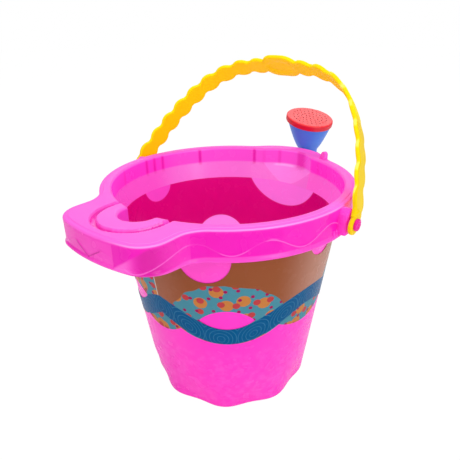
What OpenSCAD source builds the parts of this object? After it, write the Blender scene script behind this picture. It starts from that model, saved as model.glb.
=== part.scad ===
// Toy sand bucket: a tapered tub with a hollow skirted rim, a grip lip with a pouring notch,
// a swinging bail of bead-shaped links and a turning watering rose behind the rim.
// Lengths are in millimetres. The bucket stands on z = 0 with its axis on Z, the grip lip points
// to -Y, the rose to +Y, and the bail turns about a line parallel to X.

/* [Tub] */
// Height from the floor to the top of the rim
height = 224; // [200:1:250]
// Outer radius of the wall at the floor
base_r = 84.5; // [78:0.5:90]
// How far the top of the wall, where it meets the shoulder, lies inside the rim
wall_inset = 15; // [14:0.5:19]
// Thickness of the moulded walls
wall_t = 2.4; // [1.8:0.1:3]
// Thickness of the floor
floor_t = 3; // [2:0.5:6]
// Number of flutes pressed into the foot of the wall
flute_n = 9; // [7:1:12]
// Depth of a flute at the floor
flute_depth = 4.5; // [3:0.5:7]
// Height at which the flutes run out
flute_h = 36; // [28:1:60]
// Radius of the cylinder that shapes a flute
flute_r = 40; // [30:5:80]
// Turn of the flutes about the bucket's axis
flute_turn = -6; // [-20:1:20]

/* [Rim] */
// Outer radius of the rim
rim_r = 125; // [122:0.5:130]
// Width of the flat top of the rim
rim_w = 11.5; // [10:0.5:13]
// Height of the skirt that hangs from the rim
skirt_h = 28.5; // [26:0.5:32]
// Thickness of the skirt
skirt_t = 2.2; // [1.6:0.1:3]
// Height of the bead along the lower edge of the skirt
bead_h = 4; // [2:0.5:6]
// How far the bead stands out from the skirt
bead_out = 1.2; // [0.6:0.1:2]
// Depth of the upright collar inside the rim
collar_h = 17; // [14:0.5:20]
// Depth of the shoulder that slopes from the collar to the wall
shoulder_h = 19; // [16:0.5:26]
// Thickness of the webs inside the hollow rim
web_t = 1.8; // [1.2:0.1:2.6]
// Height of the small lug on the rim beside the rose
lug_h = 8; // [4:0.5:12]
// Width of that lug
lug_w = 6; // [4:0.5:8]
// Direction of the lug seen from the bucket's axis
lug_angle = 68; // [64:1:70]

/* [Grip lip] */
// Width of the grip lip
lip_w = 113; // [104:1:120]
// Distance from the bucket's axis to the front edge of the lip
lip_reach = 165; // [160:0.5:172]
// Radius of the two front corners of the lip
lip_corner_r = 24; // [16:1:30]
// Radius of the fillets where the lip grows out of the rim
lip_root_r = 12; // [8:1:18]
// Angle at which the lip's lower edge rises towards its front
lip_lift = 5; // [2:0.5:7]
// Distance of the two finger webs from the middle of the lip
lip_web_x = 28; // [24:0.5:34]
// Radius of the pouring notch
notch_r = 17.5; // [15:0.5:20]
// Distance from the bucket's axis to the middle of the notch's round end
notch_y = 115; // [112:0.5:118]
// Outer radius of the horseshoe groove round the notch
groove_r = 34.5; // [32:0.5:36]
// Distance from the bucket's axis to the middle of the groove's round end
groove_y = 121; // [118:0.5:124]
// Width of the groove
groove_w = 5; // [3:0.5:6]
// Depth of the groove
groove_depth = 4; // [2:0.5:6]

/* [Spout] */
// Radius of the bay that bulges out of the rim at the back
bay_r = 44; // [40:0.5:48]
// Distance from the bucket's axis to the middle of the bay
bay_y = 79; // [76:0.5:82]
// Width of the rim's top round the bay
bay_rim_w = 17.5; // [15:0.5:20]
// Radius of the water outlet in the wall of the bay
outlet_r = 5; // [3:0.5:6]
// Depth of the outlet below the top of the rim
outlet_drop = 20; // [19:0.5:22]
// Wall of the rose's socket and of the outlet pipe
socket_t = 2.4; // [1.8:0.1:3]
// Depth of the top of the socket below the top of the rim
socket_drop = 11; // [8:0.5:13]
// Height of the socket
socket_h = 34; // [30:1:44]

/* [Bail] */
// Depth of the bail's pins below the top of the rim
pin_drop = 14.5; // [13:0.5:16]
// Radius of a pin
pin_r = 4.7; // [4:0.1:5.5]
// Radius of the flattened head of a pin
pin_head_r = 6.4; // [6.2:0.1:8]
// Thickness of that head
pin_head_t = 3.6; // [2.5:0.1:5]
// Width of the boss behind a pin
boss_w = 24; // [18:1:30]
// Cut of the boss's upper corners, which lets the bail swing past
boss_cut = 4; // [3:0.5:5]
// How far the boss stands out from the rim
boss_out = 4.6; // [3.5:0.1:6]
// Running clearance between the bail and its pins and bosses
play = 0.35; // [0.25:0.05:0.6]
// How far the strip's inner face lies outside the inner face of its eyes
strip_in = 1.6; // [1.4:0.1:1.8]
// Thickness of the bail's strip
strip_t = 4; // [3:0.25:5]
// Width of the strip between two beads
strip_w = 15; // [13:0.5:16]
// Width of a bead
bead_w = 22; // [20:0.5:23]
// Beads on each side of the grip pad
bead_n = 9; // [8:1:10]
// Length of the grip pad along the strip
pad_l = 44; // [40:1:50]
// Width of the grip pad
pad_w = 32; // [26:1:34]
// Radius of the round ends of the bail
eye_r = 8.5; // [8:0.25:9.5]
// How far the middle of a round end lies below its pin
eye_drop = 3.5; // [2:0.5:5]
// How far the thick part of an end reaches above its pin
eye_rise = 13; // [12:0.5:15]
// Thickness of the eyes
eye_t = 6.5; // [6:0.25:7]
// Half the angle over which the top of the arch bends
top_turn = 8.5; // [8:0.25:10]
// Radius of the arch's shoulders
shoulder_r = 84; // [80:1:88]
// Direction of the arch where a shoulder turns into a leg
shoulder_turn = 54; // [52:0.5:56]
// Radius of the bent legs
leg_r = 208; // [200:2:216]
// Direction of the legs at the pins
leg_turn = 86; // [85:0.5:87]
// Lean of the resting bail towards the rose
bail_lean = 39; // [20:1:44]

/* [Rose] */
// Distance from the bucket's axis to the axis of the rose's neck
rose_y = 157; // [156:0.5:160]
// Outer radius of the neck
neck_r = 11.3; // [10:0.1:11.5]
// Wall of the neck and of the funnel
rose_t = 1.8; // [1.4:0.1:2.4]
// Depth below the top of the rim at which the neck widens into the funnel
flare_drop = 4; // [2:0.5:5]
// Height over which the funnel widens
funnel_h = 28; // [24:0.5:30]
// Outer radius of the funnel below the cap
funnel_r = 25; // [23:0.5:25.5]
// Radius of the cap
cap_r = 28.2; // [28:0.1:31]
// Height of the middle of the cap's plate above the rim
cap_rise = 32; // [30:0.5:38]
// Height of the cap's side
cap_h = 7; // [5:0.5:9]
// Thickness of the cap's plate
cap_t = 2.4; // [1.8:0.1:3]
// Tilt of the cap against the neck
cap_tilt = 14.4; // [8:0.1:16]
// Direction in which the cap looks, seen from above
cap_turn = -21.5; // [-180:0.5:180]
// Rings of water holes round the middle hole
hole_rings = 4; // [3:1:4]
// Distance between two rings of holes
hole_pitch = 5; // [4:0.25:5.5]
// Radius of a water hole
hole_r = 0.9; // [0.6:0.1:1.2]

/* [Label] */
// Thickness of the printed wrap
label_t = 0.4; // [0.2:0.05:0.6]
// Direction of the first trough of the wrap's lower edge, counted from its seam
first_trough = -52; // [-60:1:-42]
// Angle from one trough to the next of the three regular ones
wave_pitch = 94; // [90:1:96]
// Direction of the narrow trough on the other side of the seam
side_trough = -126; // [-127:0.5:-125]
// Radius of the band's edges in that trough
side_trough_r = 60; // [58:1:62]
// How far that trough reaches below the regular ones
side_drop = 5; // [4:0.5:6]
// Turn of its window's upper edge towards the seam
side_lens_turn = 14; // [13:0.5:15]
// Direction of the crest at the seam
seam_crest = -92; // [-94:0.5:-89]
// Rise of the lower edge from a trough to that crest
seam_rise = 3; // [1:0.5:5]
// Radius of the lower edge there
seam_crest_r = 36.5; // [34:0.5:42]
// How much higher the wrap sits on the far side of the bucket
wrap_rise = 6; // [0:0.5:7]
// Lowest height of the wrap, in the trough of a wave
wave_z = 93.5; // [85:0.5:100]
// Depth of a trough over its width
wave_depth = 10; // [9:0.5:14]
// Width of a trough
wave_w = 78; // [70:1:84]
// Rise of the lower edge from a trough to the crest beside it
crest_rise = 6.5; // [4:0.5:9]
// Radius of the lower edge at a crest
crest_r = 65; // [60:1:70]
// Radius of the two half-round cut-outs beside the lip
cutout_r = 23; // [18:0.5:26]
// Radius of the two cut-outs under the pins
pin_cutout_r = 20; // [16:0.5:24]
// Radius of the wide cut-out under the rose
bay_cutout_r = 48.5; // [44:0.5:52]
// Depth of that cut-out
bay_cutout_h = 27; // [20:0.5:30]
// Height of a window's upper edge above its corners
lens_up = 13; // [9:0.5:14]
// Depth of its lower edge below them
lens_down = 9; // [7:0.5:12]
// Width of that window
lens_w = 51; // [40:1:56]
// Width of the blue band between a window and the lower edge
band_w = 18.5; // [16:0.5:20]

/* [Hidden] */
$fn = 96;
// Overlap that makes cuts run clean through a face
eps = 0.1;
// Gap that keeps a seated piece free of its neighbour
seat = 0.1;
pink = "hotpink";
// Height of the plane where the tub carries the rim
seam_z = height - collar_h - shoulder_h;
rim_in_r = rim_r - rim_w;
wall_top_r = rim_r - wall_inset;
skirt_z = height - skirt_h;
collar_z = height - collar_h;
lobe_r = bay_r + bay_rim_w;
lobe_y = bay_y + lobe_r;
// The plane where the grip lip meets the rim
lip_root_y = sqrt(pow(rim_r, 2) - pow(lip_w / 2, 2));
lip_corner_x = lip_w / 2 - lip_corner_r;
lip_corner_y = sqrt(pow(lip_reach - lip_corner_r, 2) - pow(lip_corner_x, 2));
root_x = lip_w / 2 + lip_root_r;
root_y = sqrt(pow(rim_r + lip_root_r, 2) - pow(root_x, 2));
// The inner wall's radius at the seam, and the centre of the cone that forms the chute
seam_in_r = wall_top_r - wall_t;
chute_y = seam_in_r - notch_r;
valley_r = base_r - flute_depth;
flute_tilt = atan((wall_r(flute_h) - valley_r) / flute_h);
// Directions of the webs inside the rim on the right-hand side
bay_corner_y = (pow(rim_in_r, 2) - pow(bay_r, 2) + pow(bay_y, 2)) / (2 * bay_y);
web_angles = [-50, -25, 33, asin(bay_corner_y / rim_in_r), 82];
web_z = skirt_z + bead_h + 2;
outlet_z = height - outlet_drop;
socket_bore_r = neck_r + play;
socket_r = socket_bore_r + socket_t;
socket_top_z = height - socket_drop;
socket_z = socket_top_z - socket_h;
// The face where the outlet pipe of the rim meets the socket
pipe_y = lobe_y + bead_out + 0.5;
pipe_r = outlet_r + socket_t;
pin_z = height - pin_drop;
boss_x = rim_r + boss_out;
boss_z = height - wall_t - 1;
eye_x = boss_x + play;
head_x = eye_x + eye_t + play;
pin_bore_r = pin_r + play;
// The strip's middle line: a top arc, a shoulder and a leg on each side, ending on the pins' line
arch_x = eye_x + strip_t / 2 + strip_in;
top_r = (arch_x - shoulder_r * (sin(shoulder_turn) - sin(top_turn))
         - leg_r * (sin(leg_turn) - sin(shoulder_turn))) / sin(top_turn);
leg_c = [arch_x, 0] - leg_r * heading(leg_turn);
shoulder_c = leg_c + (leg_r - shoulder_r) * heading(shoulder_turn);
top_c = shoulder_c + (shoulder_r - top_r) * heading(top_turn);
top_l = top_r * top_turn * PI / 180;
shoulder_l = top_l + shoulder_r * (shoulder_turn - top_turn) * PI / 180;
strip_half = shoulder_l + leg_r * (leg_turn - shoulder_turn) * PI / 180;
// The beads divide what the pad leaves of the strip
bead_start = pad_l / 2 + bead_w / 4;
bead_pitch = (strip_half - bead_start) / bead_n;
flare_z = height - flare_drop;
neck_z = socket_z + socket_t + play;
flange_r = cap_r - cap_t + 0.4;
label_top_z = seam_z - seat;
// Height above which the wrap has no waves
label_low_z = wave_z + wrap_rise + 20;
// Number of waves along the lower edge of the wrap
wave_n = 3;

// Outer radius of the tub's wall at a height
function wall_r(z) = base_r + (wall_top_r - base_r) * z / seam_z;

// Points of a quarter round about a centre, starting in direction from
function corner_round(x, y, r, from) =
    [for (k = [0:4]) [x + r * cos(from + k * 22.5), y + r * sin(from + k * 22.5)]];

// Radius of a circle with a chord of width w and a rise of h
function arc_r(w, h) = (pow(w / 2, 2) + pow(h, 2)) / (2 * h);

// Unit vector square to the strip where it runs in direction a
function heading(a) = [sin(a), cos(a)];

// Direction of the strip at a distance s from its top
function strip_turn(s) = (s < top_l ? s / top_r : s < shoulder_l ? (s - top_l) / shoulder_r
                          : (s - shoulder_l) / leg_r) * 180 / PI
                         + (s < top_l ? 0 : s < shoulder_l ? top_turn : shoulder_turn);

// Point of the strip at a distance s from its top, moved out by off
function strip_at(s, off) = (s < top_l ? top_c : s < shoulder_l ? shoulder_c : leg_c)
    + ((s < top_l ? top_r : s < shoulder_l ? shoulder_r : leg_r) + off) * heading(strip_turn(s));

// Outer radius of the rose's funnel at a share of its height, bulging a little
function bell_r(s) = neck_r + (funnel_r - neck_r) * pow(s, 0.75);

// Copies to both sides of the YZ plane
module both_sides() {
    children();
    mirror([1, 0, 0]) children();
}

// Flutes round the foot of the wall, grown for the wall's inner face
module flutes(grow) {
    for (k = [0:flute_n - 1])
        rotate([0, 0, (k + 0.5) * 360 / flute_n - 90 + flute_turn])
            translate([valley_r, 0, 0])
                rotate([0, flute_tilt, 0])
                    translate([flute_r, 0, -flute_r])
                        cylinder(r = flute_r + grow, h = flute_r + 2 * flute_h);
}

// Tapered wall and floor with the fluted foot
module tub() {
    color(pink)
        difference() {
            cylinder(h = seam_z, r1 = base_r, r2 = wall_top_r);
            flutes(0);
            difference() {
                translate([0, 0, floor_t])
                    cylinder(h = seam_z - floor_t + eps, r1 = wall_r(floor_t) - wall_t,
                             r2 = wall_r(seam_z + eps) - wall_t);
                flutes(wall_t);
            }
        }
}

// Plan of the grip lip with round front corners, drawn in by inset
module lip_plan(inset) {
    half = lip_w / 2 - inset;
    translate([-half, -lip_corner_y])
        square([2 * half, lip_corner_y]);
    for (side = [-1, 1])
        translate([side * lip_corner_x, -lip_corner_y])
            circle(lip_corner_r - inset);
    intersection() {
        circle(lip_reach - inset);
        polygon([[0, 0], [-2 * lip_corner_x, -2 * lip_corner_y], [2 * lip_corner_x, -2 * lip_corner_y]]);
    }
}

// Fillet between the rim and one side of the lip
module root_plan(inset) {
    side_x = lip_w / 2 - inset - 1;
    share = (rim_r - inset - 1) / (rim_r + lip_root_r);
    difference() {
        polygon([[root_x, -root_y], [side_x, -root_y], [side_x, -root_y * share],
                 [root_x * share, -root_y * share]]);
        translate([root_x, -root_y])
            circle(lip_root_r + inset);
    }
}

// Outline of rim, lip and rear lobe seen from above, drawn in by inset
module outer_plan(inset) {
    circle(rim_r - inset);
    translate([0, bay_y])
        circle(lobe_r - inset);
    lip_plan(inset);
    root_plan(inset);
    mirror([1, 0])
        root_plan(inset);
}

// Pouring notch seen from above, grown by grow
module notch_plan(grow) {
    translate([0, -notch_y])
        circle(notch_r + grow);
    translate([-notch_r - grow, -notch_y])
        square([2 * (notch_r + grow), notch_r]);
}

// Mouth of the bucket with the bay and the notch, grown by grow
module mouth_plan(grow) {
    circle(rim_in_r + grow);
    translate([0, bay_y])
        circle(bay_r + grow);
    notch_plan(grow);
}

// The space inside collar and shoulder, grown by grow
module hollow(grow) {
    translate([0, 0, collar_z])
        linear_extrude(collar_h + eps)
            mouth_plan(grow);
    translate([0, 0, seam_z])
        cylinder(h = shoulder_h, r1 = seam_in_r + grow, r2 = rim_in_r + grow);
    translate([0, bay_y, seam_z])
        cylinder(h = shoulder_h, r1 = seam_in_r - bay_y + grow, r2 = bay_r + grow);
    intersection() {
        translate([0, 0, seam_z])
            linear_extrude(shoulder_h)
                notch_plan(grow);
        translate([0, -chute_y, seam_z])
            cylinder(h = shoulder_h, r1 = notch_r + grow, r2 = notch_y + notch_r - chute_y + grow);
    }
}

// A skirt round the whole outline, standing out by grow, up to the height h above an edge
// that rises towards the lip's front by lift
module skirt(grow, h, lift) {
    span = 4 * lip_reach;
    intersection() {
        translate([0, 0, skirt_z - bead_h])
            linear_extrude(skirt_h + bead_h)
                difference() {
                    outer_plan(-grow);
                    outer_plan(skirt_t);
                }
        translate([0, -lip_root_y, skirt_z])
            rotate([-lift, 0, 0])
                translate([-span / 2, -span / 2, 0])
                    cube([span, span, h]);
    }
}

// Flat top, skirt with its bead, and the outside of collar and shoulder
module rim_shell(lift) {
    translate([0, 0, height - wall_t])
        linear_extrude(wall_t)
            outer_plan(0);
    skirt(0, 2 * skirt_h, lift);
    skirt(bead_out, bead_h, lift);
    intersection() {
        hollow(wall_t);
        cylinder(h = height, r = lip_reach + lobe_r);
    }
}

// Webs that stiffen the hollow rim
module rim_webs() {
    intersection() {
        both_sides()
            for (a = web_angles)
                rotate([0, 0, a])
                    translate([rim_in_r, -web_t / 2, web_z])
                        cube([lobe_y - rim_in_r, web_t, height - web_z - wall_t / 2]);
        translate([0, 0, web_z])
            linear_extrude(height - web_z)
                outer_plan(skirt_t / 2);
    }
}

// Boss behind a pin, with an upright rib along each edge
module pin_boss() {
    rib_r = boss_out / 2;
    top = boss_z - skirt_z;
    side_y = boss_w / 2;
    translate([rim_r - skirt_t, 0, skirt_z])
        rotate([90, 0, 90])
            linear_extrude(boss_x - rim_r + skirt_t)
                polygon([[-side_y, 0], [side_y, 0], [side_y, top - boss_cut], [side_y - boss_cut, top],
                         [boss_cut - side_y, top], [-side_y, top - boss_cut]]);
    for (side = [-1, 1])
        translate([rim_r - 1, side * (boss_w / 2 + rib_r), skirt_z])
            cylinder(h = boss_z - skirt_z - 4 * rib_r, r = rib_r);
}

// Lug with a round top that stands on the rim beside the rose
module rim_lug() {
    lug_t = skirt_t * 1.6;
    rotate([0, 0, lug_angle])
        translate([rim_r - lug_t, -lug_w / 2, height - wall_t])
            union() {
                cube([lug_t, lug_w, wall_t + lug_h - lug_w / 2]);
                translate([0, lug_w / 2, wall_t + lug_h - lug_w / 2])
                    rotate([0, 90, 0])
                        cylinder(h = lug_t, r = lug_w / 2);
            }
}

// Pipe from the bay through the rear lobe towards the rose
module outlet_pipe(r, y0, y1) {
    translate([0, y1, outlet_z])
        rotate([90, 0, 0])
            cylinder(h = y1 - y0, r = r);
}

// Everything in front of the plane where the lip joins the rim
module lip_side() {
    span = 4 * lip_reach;
    translate([-span / 2, -span - lip_root_y, 0])
        cube([span, span, 2 * height]);
}

// Skirted rim with collar, shoulder, webs, bosses and the rear bay
module rim() {
    color(pink)
        difference() {
            union() {
                rim_shell(0);
                rim_webs();
                both_sides()
                    pin_boss();
                rim_lug();
                outlet_pipe(pipe_r, bay_y, pipe_y);
            }
            hollow(0);
            outlet_pipe(outlet_r, bay_y, pipe_y + eps);
            lip_side();
        }
}

// Horseshoe strip round the notch seen from above, grown by grow
module groove_plan(grow) {
    wide = groove_w + 2 * grow;
    mid_r = groove_r - groove_w / 2;
    intersection() {
        translate([0, -groove_y])
            difference() {
                circle(mid_r + wide / 2);
                circle(mid_r - wide / 2);
            }
        translate([-lip_w, -2 * lip_reach])
            square([2 * lip_w, 2 * lip_reach - groove_y]);
    }
    for (side = [-1, 1])
        translate([side * mid_r - wide / 2, -groove_y])
            square([wide, groove_y - lip_root_y + rim_w]);
}

// Webs under the lip, between its front and the rim
module lip_webs() {
    intersection() {
        both_sides()
            translate([lip_web_x - web_t / 2, -lip_reach, web_z])
                cube([web_t, lip_reach - lip_root_y + web_t, height - web_z - wall_t / 2]);
        translate([0, 0, web_z])
            linear_extrude(height - web_z)
                outer_plan(skirt_t / 2);
    }
}

// Hollow grip lip with the pouring notch and the horseshoe groove
module grip_lip() {
    color(pink)
        difference() {
            intersection() {
                union() {
                    rim_shell(lip_lift);
                    lip_webs();
                    translate([0, 0, height - groove_depth - wall_t])
                        linear_extrude(groove_depth + wall_t)
                            groove_plan(wall_t);
                }
                lip_side();
            }
            hollow(0);
            translate([0, 0, height - groove_depth])
                linear_extrude(groove_depth + eps)
                    groove_plan(0);
        }
}

// Upright socket behind the rear lobe, fed by the outlet pipe
module spout_socket() {
    color(pink)
        difference() {
            union() {
                translate([0, rose_y, socket_z])
                    cylinder(h = socket_h, r = socket_r);
                outlet_pipe(pipe_r, pipe_y, rose_y);
            }
            translate([0, rose_y, socket_z + socket_t])
                cylinder(h = socket_h, r = socket_bore_r);
            outlet_pipe(outlet_r, pipe_y - eps, rose_y);
        }
}

// Pin with its flattened head, on the +X side
module pivot_pin() {
    edge = pin_head_t / 3;
    translate([boss_x, 0, pin_z])
        rotate([0, 90, 0])
            union() {
                cylinder(h = head_x - boss_x, r = pin_r);
                translate([0, 0, head_x - boss_x])
                    rotate_extrude()
                        polygon([[0, 0], [pin_head_r, 0], [pin_head_r, pin_head_t - edge],
                                 [pin_head_r - edge, pin_head_t], [0, pin_head_t]]);
            }
}

module pivot_pin_right() {
    color(pink)
        pivot_pin();
}

module pivot_pin_left() {
    color(pink)
        mirror([1, 0, 0])
            pivot_pin();
}

// A layer of the wrap's thickness on the wall between two heights
module wrap_layer(z0, z1) {
    translate([0, 0, z0])
        difference() {
            cylinder(h = z1 - z0, r1 = wall_r(z0) + seat / 2 + label_t, r2 = wall_r(z1) + seat / 2 + label_t);
            translate([0, 0, -eps])
                cylinder(h = z1 - z0 + 2 * eps, r1 = wall_r(z0 - eps) + seat / 2,
                         r2 = wall_r(z1 + eps) + seat / 2);
        }
}

// Round bar through the wall in direction a, at height z
module wall_bar(a, z, r) {
    rotate([0, 0, a])
        translate([0, 0, z])
            rotate([0, 90, 0])
                cylinder(h = rim_r, r = r);
}

// Direction of the k-th trough of the wave
function trough_angle(k) = first_trough + k * wave_pitch;
// Height of the wrap in a direction above its place at the first trough
function wrap_lift(a) = wrap_rise * (1 - cos(a - first_trough)) / 2;

// Bar through the wall at a height of the wrap
module wrap_bar(a, z, r) {
    wall_bar(a, z + wrap_lift(a), r);
}

// Printed wrap with a waved lower edge, half-round cut-outs and lens-shaped windows
module label() {
    trough_r = arc_r(wave_w, wave_depth);
    lens_low_z = wave_z + band_w;
    lens_top_z = lens_low_z + lens_down + lens_up;
    low_r = arc_r(lens_w, lens_down);
    top_r = arc_r(lens_w, lens_up);
    color("sandybrown")
        difference() {
            union() {
                wrap_layer(label_low_z, label_top_z);
                intersection() {
                    wrap_layer(wave_z - side_drop - eps, label_low_z);
                    union() {
                        for (k = [0:wave_n - 1]) {
                            wrap_bar(trough_angle(k), wave_z + trough_r, trough_r);
                            wrap_bar(trough_angle(k + 0.5), wave_z + crest_rise + crest_r, crest_r);
                        }
                        wrap_bar(side_trough, wave_z - side_drop + side_trough_r, side_trough_r);
                        wrap_bar(seam_crest, wave_z + seam_rise + seam_crest_r, seam_crest_r);
                    }
                }
            }
            for (a = [-118.5, -61.5])
                wall_bar(a, label_top_z, cutout_r);
            for (a = [0, 180])
                wall_bar(a, label_top_z + pin_cutout_r / 4, pin_cutout_r);
            wall_bar(90, label_top_z + bay_cutout_r - bay_cutout_h, bay_cutout_r);
            for (k = [0:wave_n - 1])
                intersection() {
                    wrap_bar(trough_angle(k), lens_top_z - top_r, top_r);
                    wrap_bar(trough_angle(k), lens_low_z + low_r, low_r);
                }
            intersection() {
                wrap_bar(side_trough + side_lens_turn, lens_top_z - top_r, top_r);
                wrap_bar(side_trough, lens_low_z - side_drop + side_trough_r, side_trough_r);
            }
        }
}

// One half of the strip's side view, on the +X side
module arch_plan() {
    steps = 36;
    places = [for (k = [0:steps]) k / steps * strip_half];
    back = [for (k = [0:steps]) (1 - k / steps) * strip_half];
    polygon(concat([for (s = places) strip_at(s, strip_t / 2)], [for (s = back) strip_at(s, -strip_t / 2)]));
}

// The strip at a given width, standing upright over the pins
module strip(w) {
    rotate([90, 0, 0])
        translate([0, 0, -w / 2])
            linear_extrude(w)
                union() {
                    arch_plan();
                    mirror([1, 0])
                        arch_plan();
                }
}

// Round bar square through the strip at a distance s from its top, on the +X side
module strip_bar(s, r) {
    spot = strip_at(s, 0);
    translate([spot[0], 0, spot[1]])
        rotate([0, strip_turn(s), 0])
            translate([0, 0, -1.5 * strip_t])
                cylinder(h = 3 * strip_t, r = r);
}

// Thick rounded end of the bail on the +X side
module bail_end() {
    translate([eye_x, 0, -eye_drop])
        rotate([0, 90, 0])
            cylinder(h = eye_t, r = eye_r);
    translate([eye_x, -eye_r, -eye_drop])
        cube([eye_t, 2 * eye_r, eye_drop + eye_rise]);
}

// Bead-shaped handle, upright, with the pins' line on the X axis
module upright_bail() {
    pad_shift = (pad_l - pad_w) / 2;
    apex = strip_at(0, 0)[1];
    difference() {
        union() {
            strip(strip_w);
            intersection() {
                strip(pad_w);
                both_sides() {
                    for (k = [0:bead_n - 1])
                        strip_bar(bead_start + k * bead_pitch, bead_w / 2);
                    strip_bar(pad_shift, pad_w / 2);
                    translate([-eps, -pad_w / 2, apex - 2 * strip_t])
                        cube([pad_shift + eps, pad_w, 4 * strip_t]);
                }
            }
            both_sides()
                bail_end();
        }
        both_sides()
            translate([eye_x - 2 * eps - strip_t, 0, 0])
                rotate([0, 90, 0])
                    cylinder(h = eye_t + strip_t + 4 * eps, r = pin_bore_r);
    }
}

module bail() {
    color("gold")
        translate([0, 0, pin_z])
            rotate([-bail_lean, 0, 0])
                upright_bail();
}

// Places a shape on the cap's tilted plane, with the underside of its plate at z = 0
module on_cap() {
    translate([0, rose_y, height + cap_rise])
        rotate([0, 0, cap_turn])
            rotate([0, cap_tilt, 0])
                children();
}

// Bell-shaped solid on the neck's axis that runs past the cap, drawn in by inset
module bell(inset) {
    steps = 8;
    top = 2 * cap_rise;
    translate([0, rose_y, flare_z])
        rotate_extrude()
            polygon(concat([[0, 0]],
                           [for (k = [0:steps]) [bell_r(k / steps) - inset, k / steps * funnel_h]],
                           [[funnel_r - inset, top], [0, top]]));
}

// Neck and bell of the rose, cut on the slant, with the flange that carries the cap
module rose_funnel() {
    color("royalblue")
        difference() {
            union() {
                translate([0, rose_y, neck_z])
                    cylinder(h = flare_z - neck_z, r = neck_r);
                bell(0);
                on_cap()
                    translate([0, 0, -cap_t])
                        cylinder(h = cap_t, r = flange_r);
            }
            on_cap()
                cylinder(h = 3 * cap_rise, r = 3 * cap_r);
            translate([0, rose_y, neck_z - eps])
                cylinder(h = flare_z - neck_z + 2 * eps, r = neck_r - rose_t);
            bell(rose_t);
        }
}

// Red cap with a round edge and rings of water holes
module rose_cap() {
    edge = 0.75 * cap_t;
    skirt = cap_h - cap_t;
    rim_in = flange_r + seat;
    color("tomato")
        on_cap()
            difference() {
                rotate_extrude()
                    polygon(concat([[0, 0], [rim_in, 0], [rim_in, -skirt]],
                                   corner_round(cap_r - edge, edge - skirt, edge, -90),
                                   corner_round(cap_r - edge, cap_t - edge, edge, 0),
                                   [[0, cap_t]]));
                translate([0, 0, -eps]) {
                    cylinder(h = cap_t + 2 * eps, r = hole_r);
                    for (ring = [1:hole_rings])
                        for (k = [0:6 * ring - 1])
                            rotate([0, 0, (k + ring / 2) * 60 / ring])
                                translate([ring * hole_pitch, 0, 0])
                                    cylinder(h = cap_t + 2 * eps, r = hole_r);
                }
            }
}

tub();
rim();
grip_lip();
spout_socket();
pivot_pin_left();
pivot_pin_right();
label();
bail();
rose_funnel();
rose_cap();
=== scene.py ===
"""Dresses the packed sand bucket for a studio picture.

Pieces are built in the bucket's own frame: +Z up, the grip lip towards -Y, the watering rose
towards +Y and the bail's pins parallel to X. Sizes are in millimetres until a mesh is made.
"""

from __future__ import annotations

import logging
import math
import random
from dataclasses import dataclass, field
from enum import Enum
from typing import Callable, Optional, Sequence, Union

import bmesh
import bpy
import numpy as np
from mathutils import Matrix, Vector

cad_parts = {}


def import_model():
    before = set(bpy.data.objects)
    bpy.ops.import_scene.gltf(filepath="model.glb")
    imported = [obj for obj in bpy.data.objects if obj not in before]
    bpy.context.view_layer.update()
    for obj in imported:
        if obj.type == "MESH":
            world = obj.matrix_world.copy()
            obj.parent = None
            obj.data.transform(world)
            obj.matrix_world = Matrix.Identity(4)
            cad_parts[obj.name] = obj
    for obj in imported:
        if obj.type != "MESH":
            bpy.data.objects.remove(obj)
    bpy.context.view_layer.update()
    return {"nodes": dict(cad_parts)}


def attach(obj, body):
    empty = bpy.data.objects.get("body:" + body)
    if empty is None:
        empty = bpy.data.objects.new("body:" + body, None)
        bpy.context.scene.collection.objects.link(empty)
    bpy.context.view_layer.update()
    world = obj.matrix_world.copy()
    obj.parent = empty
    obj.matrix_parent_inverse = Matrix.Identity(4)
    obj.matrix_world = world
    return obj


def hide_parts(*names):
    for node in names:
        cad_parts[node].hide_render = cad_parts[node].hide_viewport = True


LOG = logging.getLogger("sand_bucket")
MM = 0.001
# Reach of a ray in millimetres, how often it is halved, and the reach of a weld in metres
FAR = 260.0
HALVINGS = 44
WELD = 1e-6
BLACK = (0.0, 0.0, 0.0, 1.0)

Colour = tuple[float, float, float, float]
Span = Union[float, np.ndarray]
Corner = tuple[float, float, float]
Field = Callable[[np.ndarray, np.ndarray], np.ndarray]


class Body(str, Enum):
    """The rigid bodies that pieces ride on."""

    BUCKET = "bucket"
    HANDLE = "handle"
    ROSE = "rose"


def srgb(red: float, green: float, blue: float) -> Colour:
    """Turns a screen colour into a linear one.

    Args:
        red: Red from 0 to 255.
        green: Green from 0 to 255.
        blue: Blue from 0 to 255.

    Returns:
        The linear colour with full alpha.
    """
    linear = []
    for part in (red / 255, green / 255, blue / 255):
        linear.append(part / 12.92 if part <= 0.04045 else ((part + 0.055) / 1.055) ** 2.4)
    return (*linear, 1.0)


# Shader expressions


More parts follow.
